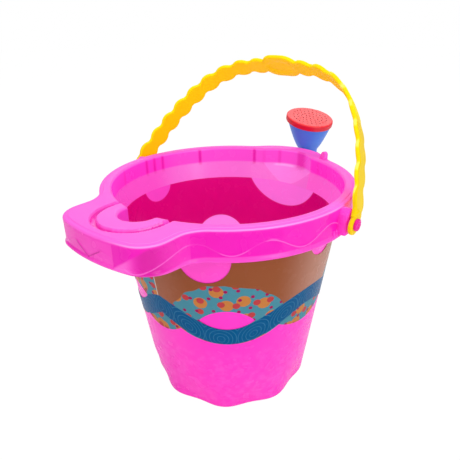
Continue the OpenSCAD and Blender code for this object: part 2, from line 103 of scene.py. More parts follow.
class Wire:
    """An output socket that takes part in Python arithmetic."""

    def __init__(self, shader: "Shader", socket: bpy.types.NodeSocket) -> None:
        """Keeps the socket and the shader it belongs to."""
        self.shader = shader
        self.socket = socket

    def __add__(self, other: "Number") -> "Wire":
        """Adds a value."""
        return self.shader.math("ADD", self, other)

    def __sub__(self, other: "Number") -> "Wire":
        """Subtracts a value."""
        return self.shader.math("SUBTRACT", self, other)

    def __rsub__(self, other: "Number") -> "Wire":
        """Subtracts this from a value."""
        return self.shader.math("SUBTRACT", other, self)

    def __mul__(self, other: "Number") -> "Wire":
        """Multiplies by a value."""
        return self.shader.math("MULTIPLY", self, other)

    def __truediv__(self, other: "Number") -> "Wire":
        """Divides by a value."""
        return self.shader.math("DIVIDE", self, other)

    def __abs__(self) -> "Wire":
        """Drops the sign."""
        return self.shader.math("ABSOLUTE", self, 0.0)

    def rise(self, low: float, high: float) -> "Wire":
        """Runs smoothly from 0 at low to 1 at high.

        Args:
            low: Value at which the result is 0.
            high: Value at which the result is 1.

        Returns:
            The smooth step.
        """
        return self.shader.node(
            "ShaderNodeMapRange",
            {"interpolation_type": "SMOOTHSTEP"},
            {"Value": self, "From Min": low, "From Max": high},
        )

    def fall(self, low: float, high: float) -> "Wire":
        """Runs smoothly from 1 at low to 0 at high."""
        return 1 - self.rise(low, high)

    def within(self, start: float, full: float, fade: float, end: float) -> "Wire":
        """Is 1 between full and fade, and 0 before start and past end."""
        return self.rise(start, full) * self.fall(fade, end)


Number = Union[float, Wire]
Place = tuple[Wire, Wire, Wire]


class Shader:
    """A material whose nodes are added by Python expressions."""

    def __init__(self, name: str) -> None:
        """Starts an empty material of that name.

        Args:
            name: The material's name.
        """
        self.material = bpy.data.materials.new(name)
        self.material.use_nodes = True
        self.tree = self.material.node_tree
        self.tree.nodes.clear()

    def node(
        self,
        kind: str,
        settings: Optional[dict] = None,
        sockets: Optional[dict] = None,
        output: Union[int, str] = 0,
    ) -> Wire:
        """Adds a node.

        Args:
            kind: The node's type.
            settings: Properties of the node, set before its sockets.
            sockets: Values or links of its inputs, by name or index.
            output: The output to return.

        Returns:
            The chosen output.
        """
        made = self.tree.nodes.new(kind)
        for key, value in (settings or {}).items():
            setattr(made, key, value)
        for key, value in (sockets or {}).items():
            self.plug(made.inputs[key], value)
        return Wire(self, made.outputs[output])

    def plug(self, socket: bpy.types.NodeSocket, value: object) -> None:
        """Links a wire to an input, or sets a plain value on it.

        Args:
            socket: The input.
            value: A wire or a plain value.
        """
        if isinstance(value, Wire):
            self.tree.links.new(value.socket, socket)
        else:
            socket.default_value = value

    def math(self, operation: str, first: Number, second: Number) -> Wire:
        """Adds a Math node on two values."""
        return self.node("ShaderNodeMath", {"operation": operation}, {0: first, 1: second})

    def hypot(self, first: Wire, second: Wire) -> Wire:
        """Length of a vector of two parts."""
        return self.math("SQRT", first * first + second * second, 0.0)

    def highest(self, first: Wire, *others: Wire) -> Wire:
        """Greatest of several values.

        Args:
            first: The first value.
            others: The other values.

        Returns:
            The greatest of them.
        """
        for other in others:
            first = self.math("MAXIMUM", first, other)
        return first

    def mix(self, factor: Number, first: object, second: object) -> Wire:
        """Mixes two colours, the second where factor is 1."""
        return self.node(
            "ShaderNodeMix", {"data_type": "RGBA"}, {0: factor, 6: first, 7: second}, output=2
        )

    def place(self) -> Wire:
        """Object coordinates."""
        return self.node("ShaderNodeTexCoord", output="Object")

    def axes(self) -> Place:
        """Object coordinates in millimetres, one wire for each axis.

        Returns:
            X, Y and Z.
        """
        split = self.node("ShaderNodeSeparateXYZ", sockets={0: self.place()})
        outputs = split.socket.node.outputs
        return tuple(Wire(self, outputs[k]) * (1 / MM) for k in range(3))

    def wrap(self, value: Wire, low: float, high: float) -> Wire:
        """Wraps a value into a range."""
        return self.node("ShaderNodeMath", {"operation": "WRAP"}, {0: value, 1: high, 2: low})

    def noise(self, scale: float, detail: float = 2.0) -> Wire:
        """Noise from 0 to 1, with a scale in features per metre and a number of octaves."""
        sockets = {"Vector": self.place(), "Scale": scale, "Detail": detail}
        return self.node("ShaderNodeTexNoise", sockets=sockets)

    def bump(self, height: Wire, depth: float, strength: float = 1.0) -> Wire:
        """Bump normal from a height, with a depth in millimetres."""
        return self.node(
            "ShaderNodeBump",
            sockets={"Height": height, "Distance": depth * MM, "Strength": strength},
        )

    def surface(self, sockets: dict) -> bpy.types.Material:
        """Adds the principled shader and the output.

        Args:
            sockets: Values or links of the shader's inputs.

        Returns:
            The finished material.
        """
        body = self.node("ShaderNodeBsdfPrincipled", sockets=sockets)
        return self.close(body)

    def close(self, surface: Wire) -> bpy.types.Material:
        """Links a surface to the output.

        Args:
            surface: The surface's output.

        Returns:
            The finished material.
        """
        end = self.tree.nodes.new("ShaderNodeOutputMaterial")
        self.plug(end.inputs["Surface"], surface)
        return self.material


# Meshes grown ring by ring


class Loft:
    """A skin that grows ring by ring through extrusions of its edge."""

    def __init__(self, ring: np.ndarray) -> None:
        """Starts the skin with its first ring of points, in millimetres.

        Args:
            ring: Points in millimetres.
        """
        self.mesh = bmesh.new()
        self.index = self.mesh.verts.layers.int.new("place")
        made = bmesh.ops.create_circle(self.mesh, cap_ends=False, segments=len(ring), radius=1.0)
        for k, vert in enumerate(made["verts"]):
            vert[self.index] = k
        self.first = list(self.mesh.edges)
        self.edges = self.first
        self._settle(made["verts"], ring)

    def _settle(self, verts: Sequence[bmesh.types.BMVert], ring: np.ndarray) -> None:
        """Moves the edge's vertices to a ring of points."""
        for vert in verts:
            vert.co = Vector(ring[vert[self.index]]) * MM

    def grow(self, *rings: np.ndarray) -> "Loft":
        """Extrudes the edge to each ring in turn.

        Args:
            rings: Points in millimetres, as many as in the first ring.

        Returns:
            The loft itself.
        """
        for ring in rings:
            geom = bmesh.ops.extrude_edge_only(self.mesh, edges=self.edges)["geom"]
            verts = [item for item in geom if isinstance(item, bmesh.types.BMVert)]
            fresh = set(verts)
            self.edges = [
                item
                for item in geom
                if isinstance(item, bmesh.types.BMEdge) and fresh.issuperset(item.verts)
            ]
            self._settle(verts, ring)
        return self

    def join_ends(self) -> "Loft":
        """Bridges the last ring to the first."""
        bmesh.ops.bridge_loops(self.mesh, edges=self.first + self.edges)
        return self

    def cap_ends(self) -> "Loft":
        """Fills the first and the last ring.

        Returns:
            The loft itself.
        """
        for edges in (self.first, self.edges):
            bmesh.ops.edgeloop_fill(self.mesh, edges=edges)
        return self


def piece(
    name: str,
    mesh: bmesh.types.BMesh,
    material: bpy.types.Material,
    body: Body,
    nodes: Sequence[str] = (),
    crease: float = 40.0,
) -> None:
    """Makes an object of a finished bmesh and lets it ride on its body.

    Args:
        name: The piece's name.
        mesh: The shape in metres; it is freed.
        material: Its finish.
        body: The body that carries it.
        nodes: The CAD nodes that it stands for.
        crease: Angle in degrees past which an edge stays sharp.
    """
    bmesh.ops.remove_doubles(mesh, verts=mesh.verts, dist=WELD)
    bmesh.ops.recalc_face_normals(mesh, faces=mesh.faces)
    data = bpy.data.meshes.new(name)
    mesh.to_mesh(data)
    mesh.free()
    data.shade_smooth()
    data.set_sharp_from_angle(angle=math.radians(crease))
    data.materials.append(material)
    thing = bpy.data.objects.new(name, data)
    bpy.context.scene.collection.objects.link(thing)
    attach(thing, body.value)
    if nodes:
        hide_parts(*nodes)
    LOG.info("%s: %d faces on %s", name, len(data.polygons), body.value)


def bevel(mesh: bmesh.types.BMesh, edges: list[bmesh.types.BMEdge], width: float, steps: int) -> None:
    """Rounds edges of a mesh.

    Args:
        mesh: The shape.
        edges: The edges to round.
        width: Width of the round in millimetres.
        steps: Faces across it.
    """
    reach = width * MM
    bmesh.ops.bevel(
        mesh, geom=edges, offset=reach, affect="EDGES", segments=steps, profile=0.5, material=-1
    )


def block(mesh: bmesh.types.BMesh, low: Corner, high: Corner, turn: float = 0.0) -> None:
    """Adds a box between two corners, turned about the bucket's axis.

    Args:
        mesh: The shape that gets the box.
        low: Its lowest corner before the turn.
        high: Its highest corner before the turn.
        turn: The turn in radians.
    """
    first, last = Vector(low) * MM, Vector(high) * MM
    place = Matrix.Rotation(turn, 4, "Z") @ Matrix.Translation((first + last) / 2)
    bmesh.ops.create_cube(mesh, size=1.0, matrix=place @ Matrix.Diagonal((*(last - first), 1.0)))


def bar(
    mesh: bmesh.types.BMesh,
    radii: tuple[float, float],
    length: float,
    place: Matrix,
    sides: int,
    caps: bool = True,
) -> list[bmesh.types.BMVert]:
    """Adds a round bar along its own Z.

    Args:
        mesh: The shape that gets the bar.
        radii: Radius at its start and at its end.
        length: Its length in millimetres.
        place: Where its middle lies, in metres.
        sides: Faces round it.
        caps: Whether its ends are closed.

    Returns:
        Its vertices.
    """
    return bmesh.ops.create_cone(
        mesh,
        cap_ends=caps,
        segments=sides,
        radius1=radii[0] * MM,
        radius2=radii[1] * MM,
        depth=length * MM,
        matrix=place,
    )["verts"]


def hand(side: int) -> str:
    """Names a side: 1 is right, on +X, and -1 is left."""
    return "right" if side > 0 else "left"


def round_union(first: np.ndarray, second: np.ndarray, radius: float) -> np.ndarray:
    """Joins two distance fields with a round fillet.

    Args:
        first: Distances to one shape.
        second: Distances to the other.
        radius: Radius of the fillet between them.

    Returns:
        Distances to the joined shape.
    """
    reach = np.hypot(np.maximum(radius - first, 0), np.maximum(radius - second, 0))
    return np.maximum(radius, np.minimum(first, second)) - reach


def trace(distance: Field, level: float, angles: np.ndarray) -> np.ndarray:
    """Finds where rays from the axis reach a level of a distance field.

    Args:
        distance: The field, which grows outwards along each ray.
        level: The level looked for.
        angles: Directions of the rays.

    Returns:
        The radius along each ray.
    """
    low = np.zeros_like(angles)
    high = np.full_like(angles, FAR)
    for _ in range(HALVINGS):
        middle = (low + high) / 2
        inside = distance(middle * np.cos(angles), middle * np.sin(angles)) < level
        low = np.where(inside, middle, low)
        high = np.where(inside, high, middle)
    return (low + high) / 2


def ring_of(radius: Span, height: Span, angles: np.ndarray) -> np.ndarray:
    """Points of a ring round the bucket's axis at a radius and a height."""
    spread = np.ones_like(angles)
    return np.stack([radius * np.cos(angles), radius * np.sin(angles), height * spread], -1)


def quarter(steps: int) -> list[tuple[float, float]]:
    """Sine and cosine complement along a quarter round, without its start.

    Args:
        steps: Number of points.

    Returns:
        Pairs that run from near (0, 0) to (1, 1), first along the second axis.
    """
    turns = [math.pi / 2 * k / steps for k in range(1, steps + 1)]
    return [(1 - math.cos(turn), math.sin(turn)) for turn in turns]


# Sizes shared by several pieces


@dataclass(frozen=True)
class Sizes:
    """Main sizes of the bucket, as in the part's source."""

    height: float = 224.0
    seam_z: float = 188.0
    collar_z: float = 207.0
    skirt_z: float = 195.5
    base_r: float = 84.5
    wall_top_r: float = 110.0
    wall_t: float = 2.4
    rim_r: float = 125.0
    rim_in_r: float = 113.5
    pin_z: float = 209.5
    bay_y: float = 79.0
    bay_r: float = 44.0
    bay_low_r: float = 28.6
    lip_root_y: float = 111.5
    groove_r: float = 32.0
    groove_y: float = 121.0
    web_t: float = 1.8
    web_low_z: float = 201.5
    rose_y: float = 157.0
    rose_plane_z: float = 256.0
    rose_tilt: float = math.radians(14.4)
    rose_turn: float = math.radians(-21.5)

    def wall_r(self, z: Span) -> Span:
        """Outer radius of the wall at a height."""
        return self.base_r + (self.wall_top_r - self.base_r) * z / self.seam_z

    def shoulder(self, z: float) -> float:
        """Share of the way up the shoulder at a height, 1 from the collar on."""
        return min(1.0, (z - self.seam_z) / (self.collar_z - self.seam_z))

    def bay_wall_r(self, z: float) -> float:
        """Radius of the rear bay's wall at a height."""
        return self.bay_low_r + (self.bay_r - self.bay_low_r) * self.shoulder(z)


SIZES = Sizes()


@dataclass(frozen=True)
class Wrap:
    """Layout of the printed wrap round the wall."""

    trough: tuple[float, float] = (174.55, 81.05)
    crest: tuple[float, float] = (165.0, 65.0)
    whole_z: float = 119.5
    lens_top: tuple[float, float] = (102.49, 31.51)
    lens_low: tuple[float, float] = (152.63, 40.63)
    troughs: tuple[float, ...] = (-52.0, 42.0, 136.0)
    crests: tuple[float, ...] = (-5.0, 89.0, 183.0)
    side_trough: tuple[float, float, float] = (-126.0, 148.5, 60.0)
    side_lens_turn: float = 14.0
    side_lens_z: float = 167.0
    seam_crest: tuple[float, float, float] = (-92.0, 133.0, 36.5)
    far_rise: float = 6.0
    cutouts: tuple[tuple[float, float, float], ...] = (
        (-61.5, 188.0, 23.0),
        (-118.5, 188.0, 23.0),
        (0.0, 193.0, 20.0),
        (180.0, 193.0, 20.0),
        (90.0, 209.5, 48.5),
    )

    def lift(self, turn: float) -> float:
        """How much higher the wrap sits in a direction than at its first trough."""
        return self.far_rise * (1 - math.cos(math.radians(turn - self.troughs[0]))) / 2

    def disc(self, sh: Shader, place: Place, spot: tuple[float, float, float]) -> Wire:
        """Mask of a round bar that leaves the axis in one direction.

        Args:
            sh: The shader.
            place: Object coordinates in millimetres.
            spot: Direction in degrees, height and radius of the bar.

        Returns:
            1 inside the bar and 0 outside.
        """
        x, y, z = place
        turn = math.radians(spot[0])
        side = y * math.cos(turn) - x * math.sin(turn)
        front = x * math.cos(turn) + y * math.sin(turn)
        gap = sh.hypot(side, z - spot[1])
        return gap.fall(spot[2] - 0.6, spot[2] + 0.6) * front.rise(0.0, 5.0)

    def raised(self, sh: Shader, place: Place, spot: tuple[float, float, float]) -> Wire:
        """Mask of a bar that is lifted with the wrap."""
        turn, z, radius = spot
        return self.disc(sh, place, (turn, z + self.lift(turn), radius))

    def cover(self, sh: Shader, place: Place) -> Wire:
        """Mask of the wall that the wrap covers, 1 under the wrap.

        Args:
            sh: The shader.
            place: Object coordinates in millimetres.

        Returns:
            The mask.
        """
        low = place[2].rise(self.whole_z - 0.5, self.whole_z + 0.5)
        bare = sh.highest(*(self.disc(sh, place, spot) for spot in self.cutouts))
        edges = [(turn, *self.trough) for turn in self.troughs]
        edges += [(turn, *self.crest) for turn in self.crests]
        edges += [self.side_trough, self.seam_crest]
        low = sh.highest(low, *(self.raised(sh, place, spot) for spot in edges))
        windows = [((turn, *self.lens_top), (turn, *self.lens_low)) for turn in self.troughs]
        side, _, radius = self.side_trough
        windows.append(((side + self.side_lens_turn, *self.lens_top), (side, self.side_lens_z, radius)))
        for over, under in windows:
            bare = sh.highest(bare, self.raised(sh, place, over) * self.raised(sh, place, under))
        top = place[2].fall(SIZES.seam_z - 0.5, SIZES.seam_z + 0.5)
        return low * (1 - bare) * top


WRAP = Wrap()


@dataclass(frozen=True)
class SkirtWave:
    """Raised wave line that runs round the skirt and makes a V at the lip's front."""

    middle: float = 206.9
    height: float = 5.6
    turn: float = math.radians(-0.9)
    waves: int = 13
    v_half: float = math.radians(5.4)
    v_rise: float = 1.6
    faint: tuple[tuple[float, float], ...] = ((28.0, 36.5), (48.5, 53.0))

    def heights(self, angles: np.ndarray) -> np.ndarray:
        """Height of the line in each direction.

        Args:
            angles: Directions in radians.

        Returns:
            Heights in millimetres.
        """
        off = self.off_front(angles)
        crest = 2 * math.pi / self.waves
        dip = np.cos(2 * math.pi * (off - self.v_half) / (crest - self.v_half))
        front = np.where(off < self.v_half, self.v_rise * off / self.v_half + 1 - self.v_rise, dip)
        wave = np.where(off < crest, front, np.cos(off * self.waves))
        return self.middle + self.height * wave

    def relief(self, angles: np.ndarray) -> np.ndarray:
        """How far the line stands out in each direction, as a share.

        Args:
            angles: Directions in radians.

        Returns:
            Shares from 0 to 1.
        """
        off = np.degrees(self.off_front(angles))
        share = np.interp(off, [5.0, 6.5, 13.0, 17.0], [1.0, 0.25, 0.25, 1.0])
        for low, high in self.faint:
            share *= np.interp(off, [low - 2, low, high, high + 2], [1.0, 0.2, 0.2, 1.0])
        return share

    def off_front(self, angles: np.ndarray) -> np.ndarray:
        """Directions counted from the middle of the V, to either side."""
        return np.abs((angles - self.turn + 3 * math.pi / 2) % (2 * math.pi) - math.pi)

    def mask(self, sh: Shader, off: Wire, z: Wire) -> Wire:
        """Mask of the line's crest.

        Args:
            sh: The shader.
            off: Direction in radians, counted from the lip's front.
            z: Height in millimetres.

        Returns:
            1 on the crest and 0 beside it.
        """
        crest = 2 * math.pi / self.waves
        off = off - self.turn
        in_v = abs(off).fall(self.v_half, self.v_half + 1e-4)
        in_dip = abs(off).fall(crest, crest + 1e-4)
        dip = sh.math("COSINE", (abs(off) - self.v_half) * (2 * math.pi / (crest - self.v_half)), 0.0)
        arms = abs(off) * (self.v_rise / self.v_half) + (1 - self.v_rise)
        front = dip * (1 - in_v) + arms * in_v
        wave = sh.math("COSINE", off * self.waves, 0.0) * (1 - in_dip) + front * in_dip
        line = 1 - abs(z - (wave * self.height + self.middle)).rise(0.2, 0.9)
        for low, high in self.faint:
            degrees = abs(off) * (180 / math.pi)
            line = line * (1 - degrees.within(low - 2, low, high, high + 2) * 0.8)
        return line


WAVE = SkirtWave()


# Finishes


@dataclass(frozen=True)
class PinkPlastic:
    """Satin moulded plastic that lets some light through, with that light and its shade painted into the
    colour and the glow.
    """

    body: Colour = srgb(240, 20, 184)
    # Painted shade: the inside of the wall under the wrap, darker towards +X.
    deep: Colour = srgb(226, 4, 136)
    deep_right: Colour = srgb(208, 0, 124)
    pale: Colour = srgb(252, 48, 192)
    # A pale tone for spots and frost, also used as painted light; the top tone is painted light on upper
    # faces and shine a painted highlight.
    light: Colour = srgb(255, 120, 222)
    top: Colour = srgb(252, 93, 214)
    shine: Colour = srgb(255, 190, 246)
    # Painted shade: dark and dusk stand for shadow seen through the plastic.
    dark: Colour = srgb(234, 0, 180)
    dusk: Colour = srgb(206, 20, 150)
    collar_glow: Colour = (0.16, 0.062, 0.26, 1.0)
    past_bay_glow: Colour = (0.24, 0.024, 0.228, 1.0)
    right_glow: Colour = (0.26, 0.0, 0.14, 1.0)
    lobe_glow: Colour = (0.40, 0.03, 0.13, 1.0)
    shoulder_glow: Colour = (0.05, 0.085, 0.18, 1.0)
    right_shoulder_glow: Colour = (0.13, 0.06, 0.18, 1.0)
    left_shoulder_glow: Colour = (0.06, 0.022, 0.11, 1.0)
    left_glow: Colour = (0.12, 0.045, 0.18, 1.0)
    back_glow: Colour = (0.13, 0.13, 0.32, 1.0)
    low_glow: Colour = (0.24, 0.20, 0.48, 1.0)
    notch_glow: Colour = (0.06, 0.03, 0.14, 1.0)
    outer_glow: Colour = (0.09, 0.004, 0.045, 1.0)
    small_glow: Colour = (0.10, 0.0, 0.06, 1.0)
    # Painted shadows that the webs cast on the collar, by turn in degrees and strength, and the half
    # width of each.
    webs: tuple[tuple[float, float], ...] = (
        (-50.0, 0.4),
        (-25.0, 0.3),
        (-4.0, 0.7),
        (2.0, 0.7),
        (8.0, 0.7),
        (33.0, 0.8),
        (67.2, 0.8),
        (73.4, 0.15),
        (82.0, 0.35),
    )
    web_shadow_half: float = 1.9

    def plain(self, sh: Shader) -> Wire:
        """Body colour with soft clouds."""
        clouds = sh.noise(16.0, 3.0)
        return sh.mix(clouds.rise(0.35, 0.7) * 0.4, self.body, self.pale)

    def finish(self, sh: Shader, colour: Wire, glow: object, matt: Number = 0.0) -> bpy.types.Material:
        """Adds the surface shared by all pink pieces.

        Args:
            sh: The shader.
            colour: The base colour.
            glow: Light let through from behind.
            matt: Roughness added to the common one.

        Returns:
            The finished material.
        """
        grain = sh.noise(900.0, 2.0)
        swirl = sh.noise(60.0, 2.0)
        return sh.surface(
            {
                "Base Color": colour,
                "Roughness": swirl.rise(0.2, 0.8) * 0.08 + 0.22 + matt,
                "Normal": sh.bump(grain, 0.02, 0.12),
                "Specular IOR Level": 0.22,
                "Emission Color": glow,
                "Emission Strength": 1.0,
            }
        )

    def tub(self) -> bpy.types.Material:
        """Builds the tub's finish, with painted shade inside where the wrap keeps light out, painted
        light on the outer wall near the rim, and a glow where light comes through.

        Returns:
            The finished material.
        """
        sh = Shader("pink_tub")
        place = sh.axes()
        x, y, z = place
        radius = sh.hypot(x, y)
        slope = (SIZES.wall_top_r - SIZES.base_r) / SIZES.seam_z
        wall = z * slope + (SIZES.base_r - SIZES.wall_t / 2) - z.fall(30.0, 46.0) * 5.0
        inside = (wall - radius).rise(-0.3, 0.3)
        cover = WRAP.cover(sh, place)
        # Painted shade: the inside of the wall is darker where the wrap covers it, more so towards +X.
        deep = sh.mix(x.rise(-20.0, 70.0), self.deep, self.deep_right)
        colour = sh.mix(inside * cover, self.plain(sh), deep)
        # Painted light: the outer wall is paler, more so just under the rim, as if lit through the
        # plastic.
        colour = sh.mix((z.rise(155.0, 172.0) * 0.2 + 0.1) * (1 - inside), colour, self.light)
        frost = sh.noise(150.0, 4.0).rise(0.4, 0.7) * z.fall(60.0, 95.0) * 0.2
        colour = sh.mix(frost * (1 - inside), colour, self.light)
        glow = sh.mix(y.rise(30.0, 80.0), self.left_glow, self.back_glow)
        glow = sh.mix(z.fall(135.0, 150.0), glow, self.low_glow)
        glow = sh.mix(inside * (1 - cover), BLACK, glow)
        return self.finish(sh, colour, sh.mix(1 - inside, glow, self.outer_glow))

    def rim(self) -> bpy.types.Material:
        """Builds the rim's finish, with painted shadows of the webs on the collar and the lip, and
        painted light and highlights on its top, skirt, shoulder and bay.

        Returns:
            The finished material.
        """
        sh = Shader("pink_rim")
        place = sh.axes()
        x, y, z = place
        radius = sh.hypot(x, y)
        ahead = sh.math("MINIMUM", y + SIZES.groove_y, 0.0)
        across = sh.hypot(x, ahead) - SIZES.groove_r
        on_lip = (0 - y).rise(90.0, 92.0)
        groove = abs(across).fall(2.6, 3.4) * on_lip * z.rise(219.0, 219.8) * 0.35
        # Painted light: the top, the groove's floor and the plateau are paler where light falls on them.
        colour = sh.mix(sh.highest(z.rise(220.8, 223.2), groove), self.plain(sh), self.top)
        plateau = across.fall(-3.4, -2.6) * on_lip * z.rise(222.0, 223.0)
        colour = sh.mix(plateau * 0.2, colour, self.light)
        colour = self.skirt_tones(sh, colour, place)
        bay = sh.hypot(x, y - SIZES.bay_y)
        in_bay = bay.fall(SIZES.bay_r + 1, SIZES.bay_r + 2) * y.rise(80.0, 84.0)
        notch = abs(x).fall(19.0, 20.0) * (0 - y).rise(90.0, 91.0) * radius.fall(134.5, 135.5)
        inside = sh.highest(radius.fall(118.0, 120.0), in_bay, notch) * z.fall(221.5, 223.8)
        # Painted shade: the webs' shadows darken the inside of the collar.
        shade = self.shadows(sh, place) * inside
        colour = sh.mix(shade * 0.7, colour, self.dark)
        share = (z - SIZES.seam_z) / (SIZES.collar_z - SIZES.seam_z)
        cone = bay - (share * (SIZES.bay_r - SIZES.bay_low_r) + SIZES.bay_low_r)
        shoulder = z.fall(SIZES.collar_z - 1.5, SIZES.collar_z + 1) * inside
        bowl = abs(cone).fall(0.5, 0.9) * y.rise(84.0, 88.0) * shoulder
        # Painted light: the shoulder and the bay's bowl are paler, as if lit through the plastic.
        colour = sh.mix(shoulder * 0.4 + bowl * 0.35, colour, self.light)
        # Painted highlight: a bright line along the crease at the back of the bay.
        bay_highlight = abs(z - 205.0).fall(0.4, 1.6) * x.within(-24.0, -18.0, 0.0, 5.0) * in_bay
        colour = sh.mix(bay_highlight * 0.45, colour, self.shine)
        # Painted shadow: the rose's neck darkens the bay's wall, as if seen through it.
        neck = x.within(4.0, 9.0, 14.0, 24.0) * in_bay * z.rise(201.0, 207.0)
        colour = sh.mix(neck * 0.5, colour, self.dark)
        lit = inside * (1 - shade) * (1 - neck * 0.6)
        glow = self.rim_glow(sh, place, shoulder, lit)
        return self.finish(sh, colour, glow, z.rise(222.0, 223.4) * 0.26)

    def rim_glow(self, sh: Shader, place: Place, shoulder: Wire, lit: Wire) -> Wire:
        """Light that the collar, the shoulder and parts of the top let through.

        Args:
            sh: The shader.
            place: Object coordinates in millimetres.
            shoulder: Mask of the shoulder.
            lit: Mask of the inner faces that no web or neck shades.

        Returns:
            The glow's colour.
        """
        x, y, z = place
        past_bay = x.rise(31.2, 32.4)
        by_lip = (x * 0.77 + y * 0.64).fall(-88.0, -58.0)
        glow = sh.mix(sh.highest(past_bay, by_lip), self.collar_glow, self.past_bay_glow)
        glow = sh.mix(x.rise(70.0, 105.0), glow, self.right_glow)
        low_glow = sh.mix(past_bay, self.shoulder_glow, self.right_shoulder_glow)
        low_glow = sh.mix(by_lip, low_glow, self.left_shoulder_glow)
        glow = sh.mix(shoulder, glow, low_glow)
        glow = sh.mix((0 - y).rise(90.0, 96.0), glow, self.notch_glow)
        glow = sh.mix(lit, BLACK, glow)
        by_rose = z.rise(221.5, 223.0) * y.rise(120.0, 136.0) * abs(x - 6.0).fall(14.0, 34.0)
        glow = sh.mix(by_rose, glow, self.lobe_glow)
        by_bail = abs(x).rise(112.0, 118.0) * abs(y).fall(10.0, 22.0) * z.rise(212.0, 217.0)
        return sh.mix(by_bail * 0.5, glow, self.lobe_glow)

    def skirt_tones(self, sh: Shader, colour: Wire, place: Place) -> Wire:
        """Adds the painted light and shade of the fields that the hollow skirt and lip let through, and
        painted highlights on the wave line and the top edges.

        Args:
            sh: The shader.
            colour: The colour so far.
            place: Object coordinates in millimetres.

        Returns:
            The toned colour.
        """
        x, y, z = place
        radius, off = sh.hypot(x, y), sh.math("ARCTAN2", x, 0 - y)
        degrees = off * (180 / math.pi)
        outer = radius.rise(122.0, 123.0) * z.fall(219.0, 222.5)
        lip = (0 - y).rise(SIZES.lip_root_y - 0.4, SIZES.lip_root_y + 0.4) * outer
        right = degrees.rise(8.6, 8.9)
        ramp = z - (degrees * 1.9 + 185.2)
        under = ramp.fall(-1.5, 1.5)
        # Painted light: the lip's front, up to its web, is paler, more so low down.
        painted_light = (z.fall(200.0, 214.0) * 0.1 + 0.16) * degrees.rise(-9.0, 4.0) * (1 - right)
        colour = sh.mix(lip * painted_light, colour, self.light)
        # Painted shade and light: beside the web the lip is darker above a slanting line and paler below
        # it, with painted shade at its corner.
        colour = sh.mix(lip * right * (1 - under) * degrees.fall(16.0, 24.0) * 0.9, colour, self.dark)
        colour = sh.mix(lip * right * under * degrees.fall(11.0, 17.0) * 0.6, colour, self.light)
        corner = degrees.within(13.0, 18.0, 19.0, 25.0)
        colour = sh.mix(lip * under * corner * 0.8, colour, self.dusk)
        # Painted light: a little paler where the lip meets the rim, more so low down.
        root = degrees.within(20.0, 23.0, 26.5, 26.9) * outer
        colour = sh.mix(root * (z.fall(199.0, 206.0) * 0.1 + 0.05), colour, self.light)
        # Painted shade: the hollow skirt beside the lip is darker above its bead.
        hollow = degrees.within(26.5, 26.9, 58.0, 61.0) * outer
        colour = sh.mix(hollow * z.rise(200.3, 200.9) * 0.9, colour, self.dark)
        # Painted light: the bead along the skirt's lower edge is paler.
        colour = sh.mix(z.fall(199.2, 200.6) * outer * 0.3, colour, self.light)
        # Painted shade on the wave line in the V at the lip's front, and a painted highlight on it to
        # either side.
        line = WAVE.mask(sh, off, z) * outer
        front = degrees.within(-6.4, -5.8, 4.0, 4.6)
        colour = sh.mix(line * front * 0.85, colour, self.dusk)
        colour = sh.mix(line * degrees.rise(10.5, 14.0) * 0.5, colour, self.light)
        colour = sh.mix(line * (0 - degrees).rise(10.5, 14.0) * 0.5, colour, self.light)
        # Painted highlights along the outer top edge and the border step, on the right front.
        edge = z.within(221.9, 222.5, 223.1, 223.5)
        step = z.within(223.56, 223.64, 223.88, 223.96) * 0.6
        near = radius.rise(119.0, 120.0) * degrees.within(4.0, 16.0, 80.0, 100.0)
        return sh.mix(sh.highest(edge, step) * near * 0.4, colour, self.shine)

    def shadows(self, sh: Shader, place: Place) -> Wire:
        """Mask of the webs' painted shadows on the collar, as if seen through it.

        Args:
            sh: The shader.
            place: Object coordinates in millimetres.

        Returns:
            The darkest web's share at each point.
        """
        x, y, z = place
        height = z.rise(SIZES.collar_z - 4, SIZES.collar_z - 1)
        bars = []
        for turn, strength in self.webs:
            angle = math.radians(turn)
            off = abs(abs(x) * math.sin(angle) - y * math.cos(angle))
            ahead = abs(x) * math.cos(angle) + y * math.sin(angle)
            near = off.fall(self.web_shadow_half * 0.3, self.web_shadow_half * 1.6)
            bars.append(near * ahead.rise(0.0, 5.0) * strength)
        return sh.highest(*bars) * height * (1 - x.rise(0.0, 10.0) * 0.8)

    def small(self, name: str, tone: Colour, share: float) -> bpy.types.Material:
        """Builds the finish of a small piece, with a share of another tone.

        Args:
            name: The material's name.
            tone: The other tone.
            share: How much of it shows.

        Returns:
            The finished material.
        """
        sh = Shader(name)
        spots = sh.noise(700.0, 2.0).rise(0.3, 0.7) * 0.6 + 0.7
        return self.finish(sh, sh.mix(spots * share, self.plain(sh), tone), self.small_glow)


@dataclass(frozen=True)
class PlainPlastic:
    """Satin moulded plastic of one colour with soft clouds and a fine grain."""

    name: str
    body: Colour
    tint: Colour
    rough: float = 0.34
    glow: float = 0.0
    gloss: float = 0.4

    def start(self) -> tuple[Shader, Wire]:
        """Opens the shader with its clouded colour.

        Returns:
            The shader and its colour.
        """
        sh = Shader(self.name)
        clouds = sh.noise(45.0, 3.0)
        return sh, sh.mix(clouds.rise(0.3, 0.75) * 0.6, self.body, self.tint)

    def finish(self, sh: Shader, colour: Wire) -> bpy.types.Material:
        """Adds the satin surface to a colour.

        Args:
            sh: The shader.
            colour: The base colour.

        Returns:
            The finished material.
        """
        grain = sh.noise(900.0, 2.0)
        return sh.surface(
            {
                "Base Color": colour,
                "Roughness": sh.noise(60.0, 2.0) * 0.1 + self.rough,
                "Normal": sh.bump(grain, 0.02, 0.1),
                "Specular IOR Level": self.gloss,
                "Emission Color": colour,
                "Emission Strength": self.glow,
            }
        )

    def material(self) -> bpy.types.Material:
        """Builds the material."""
        return self.finish(*self.start())


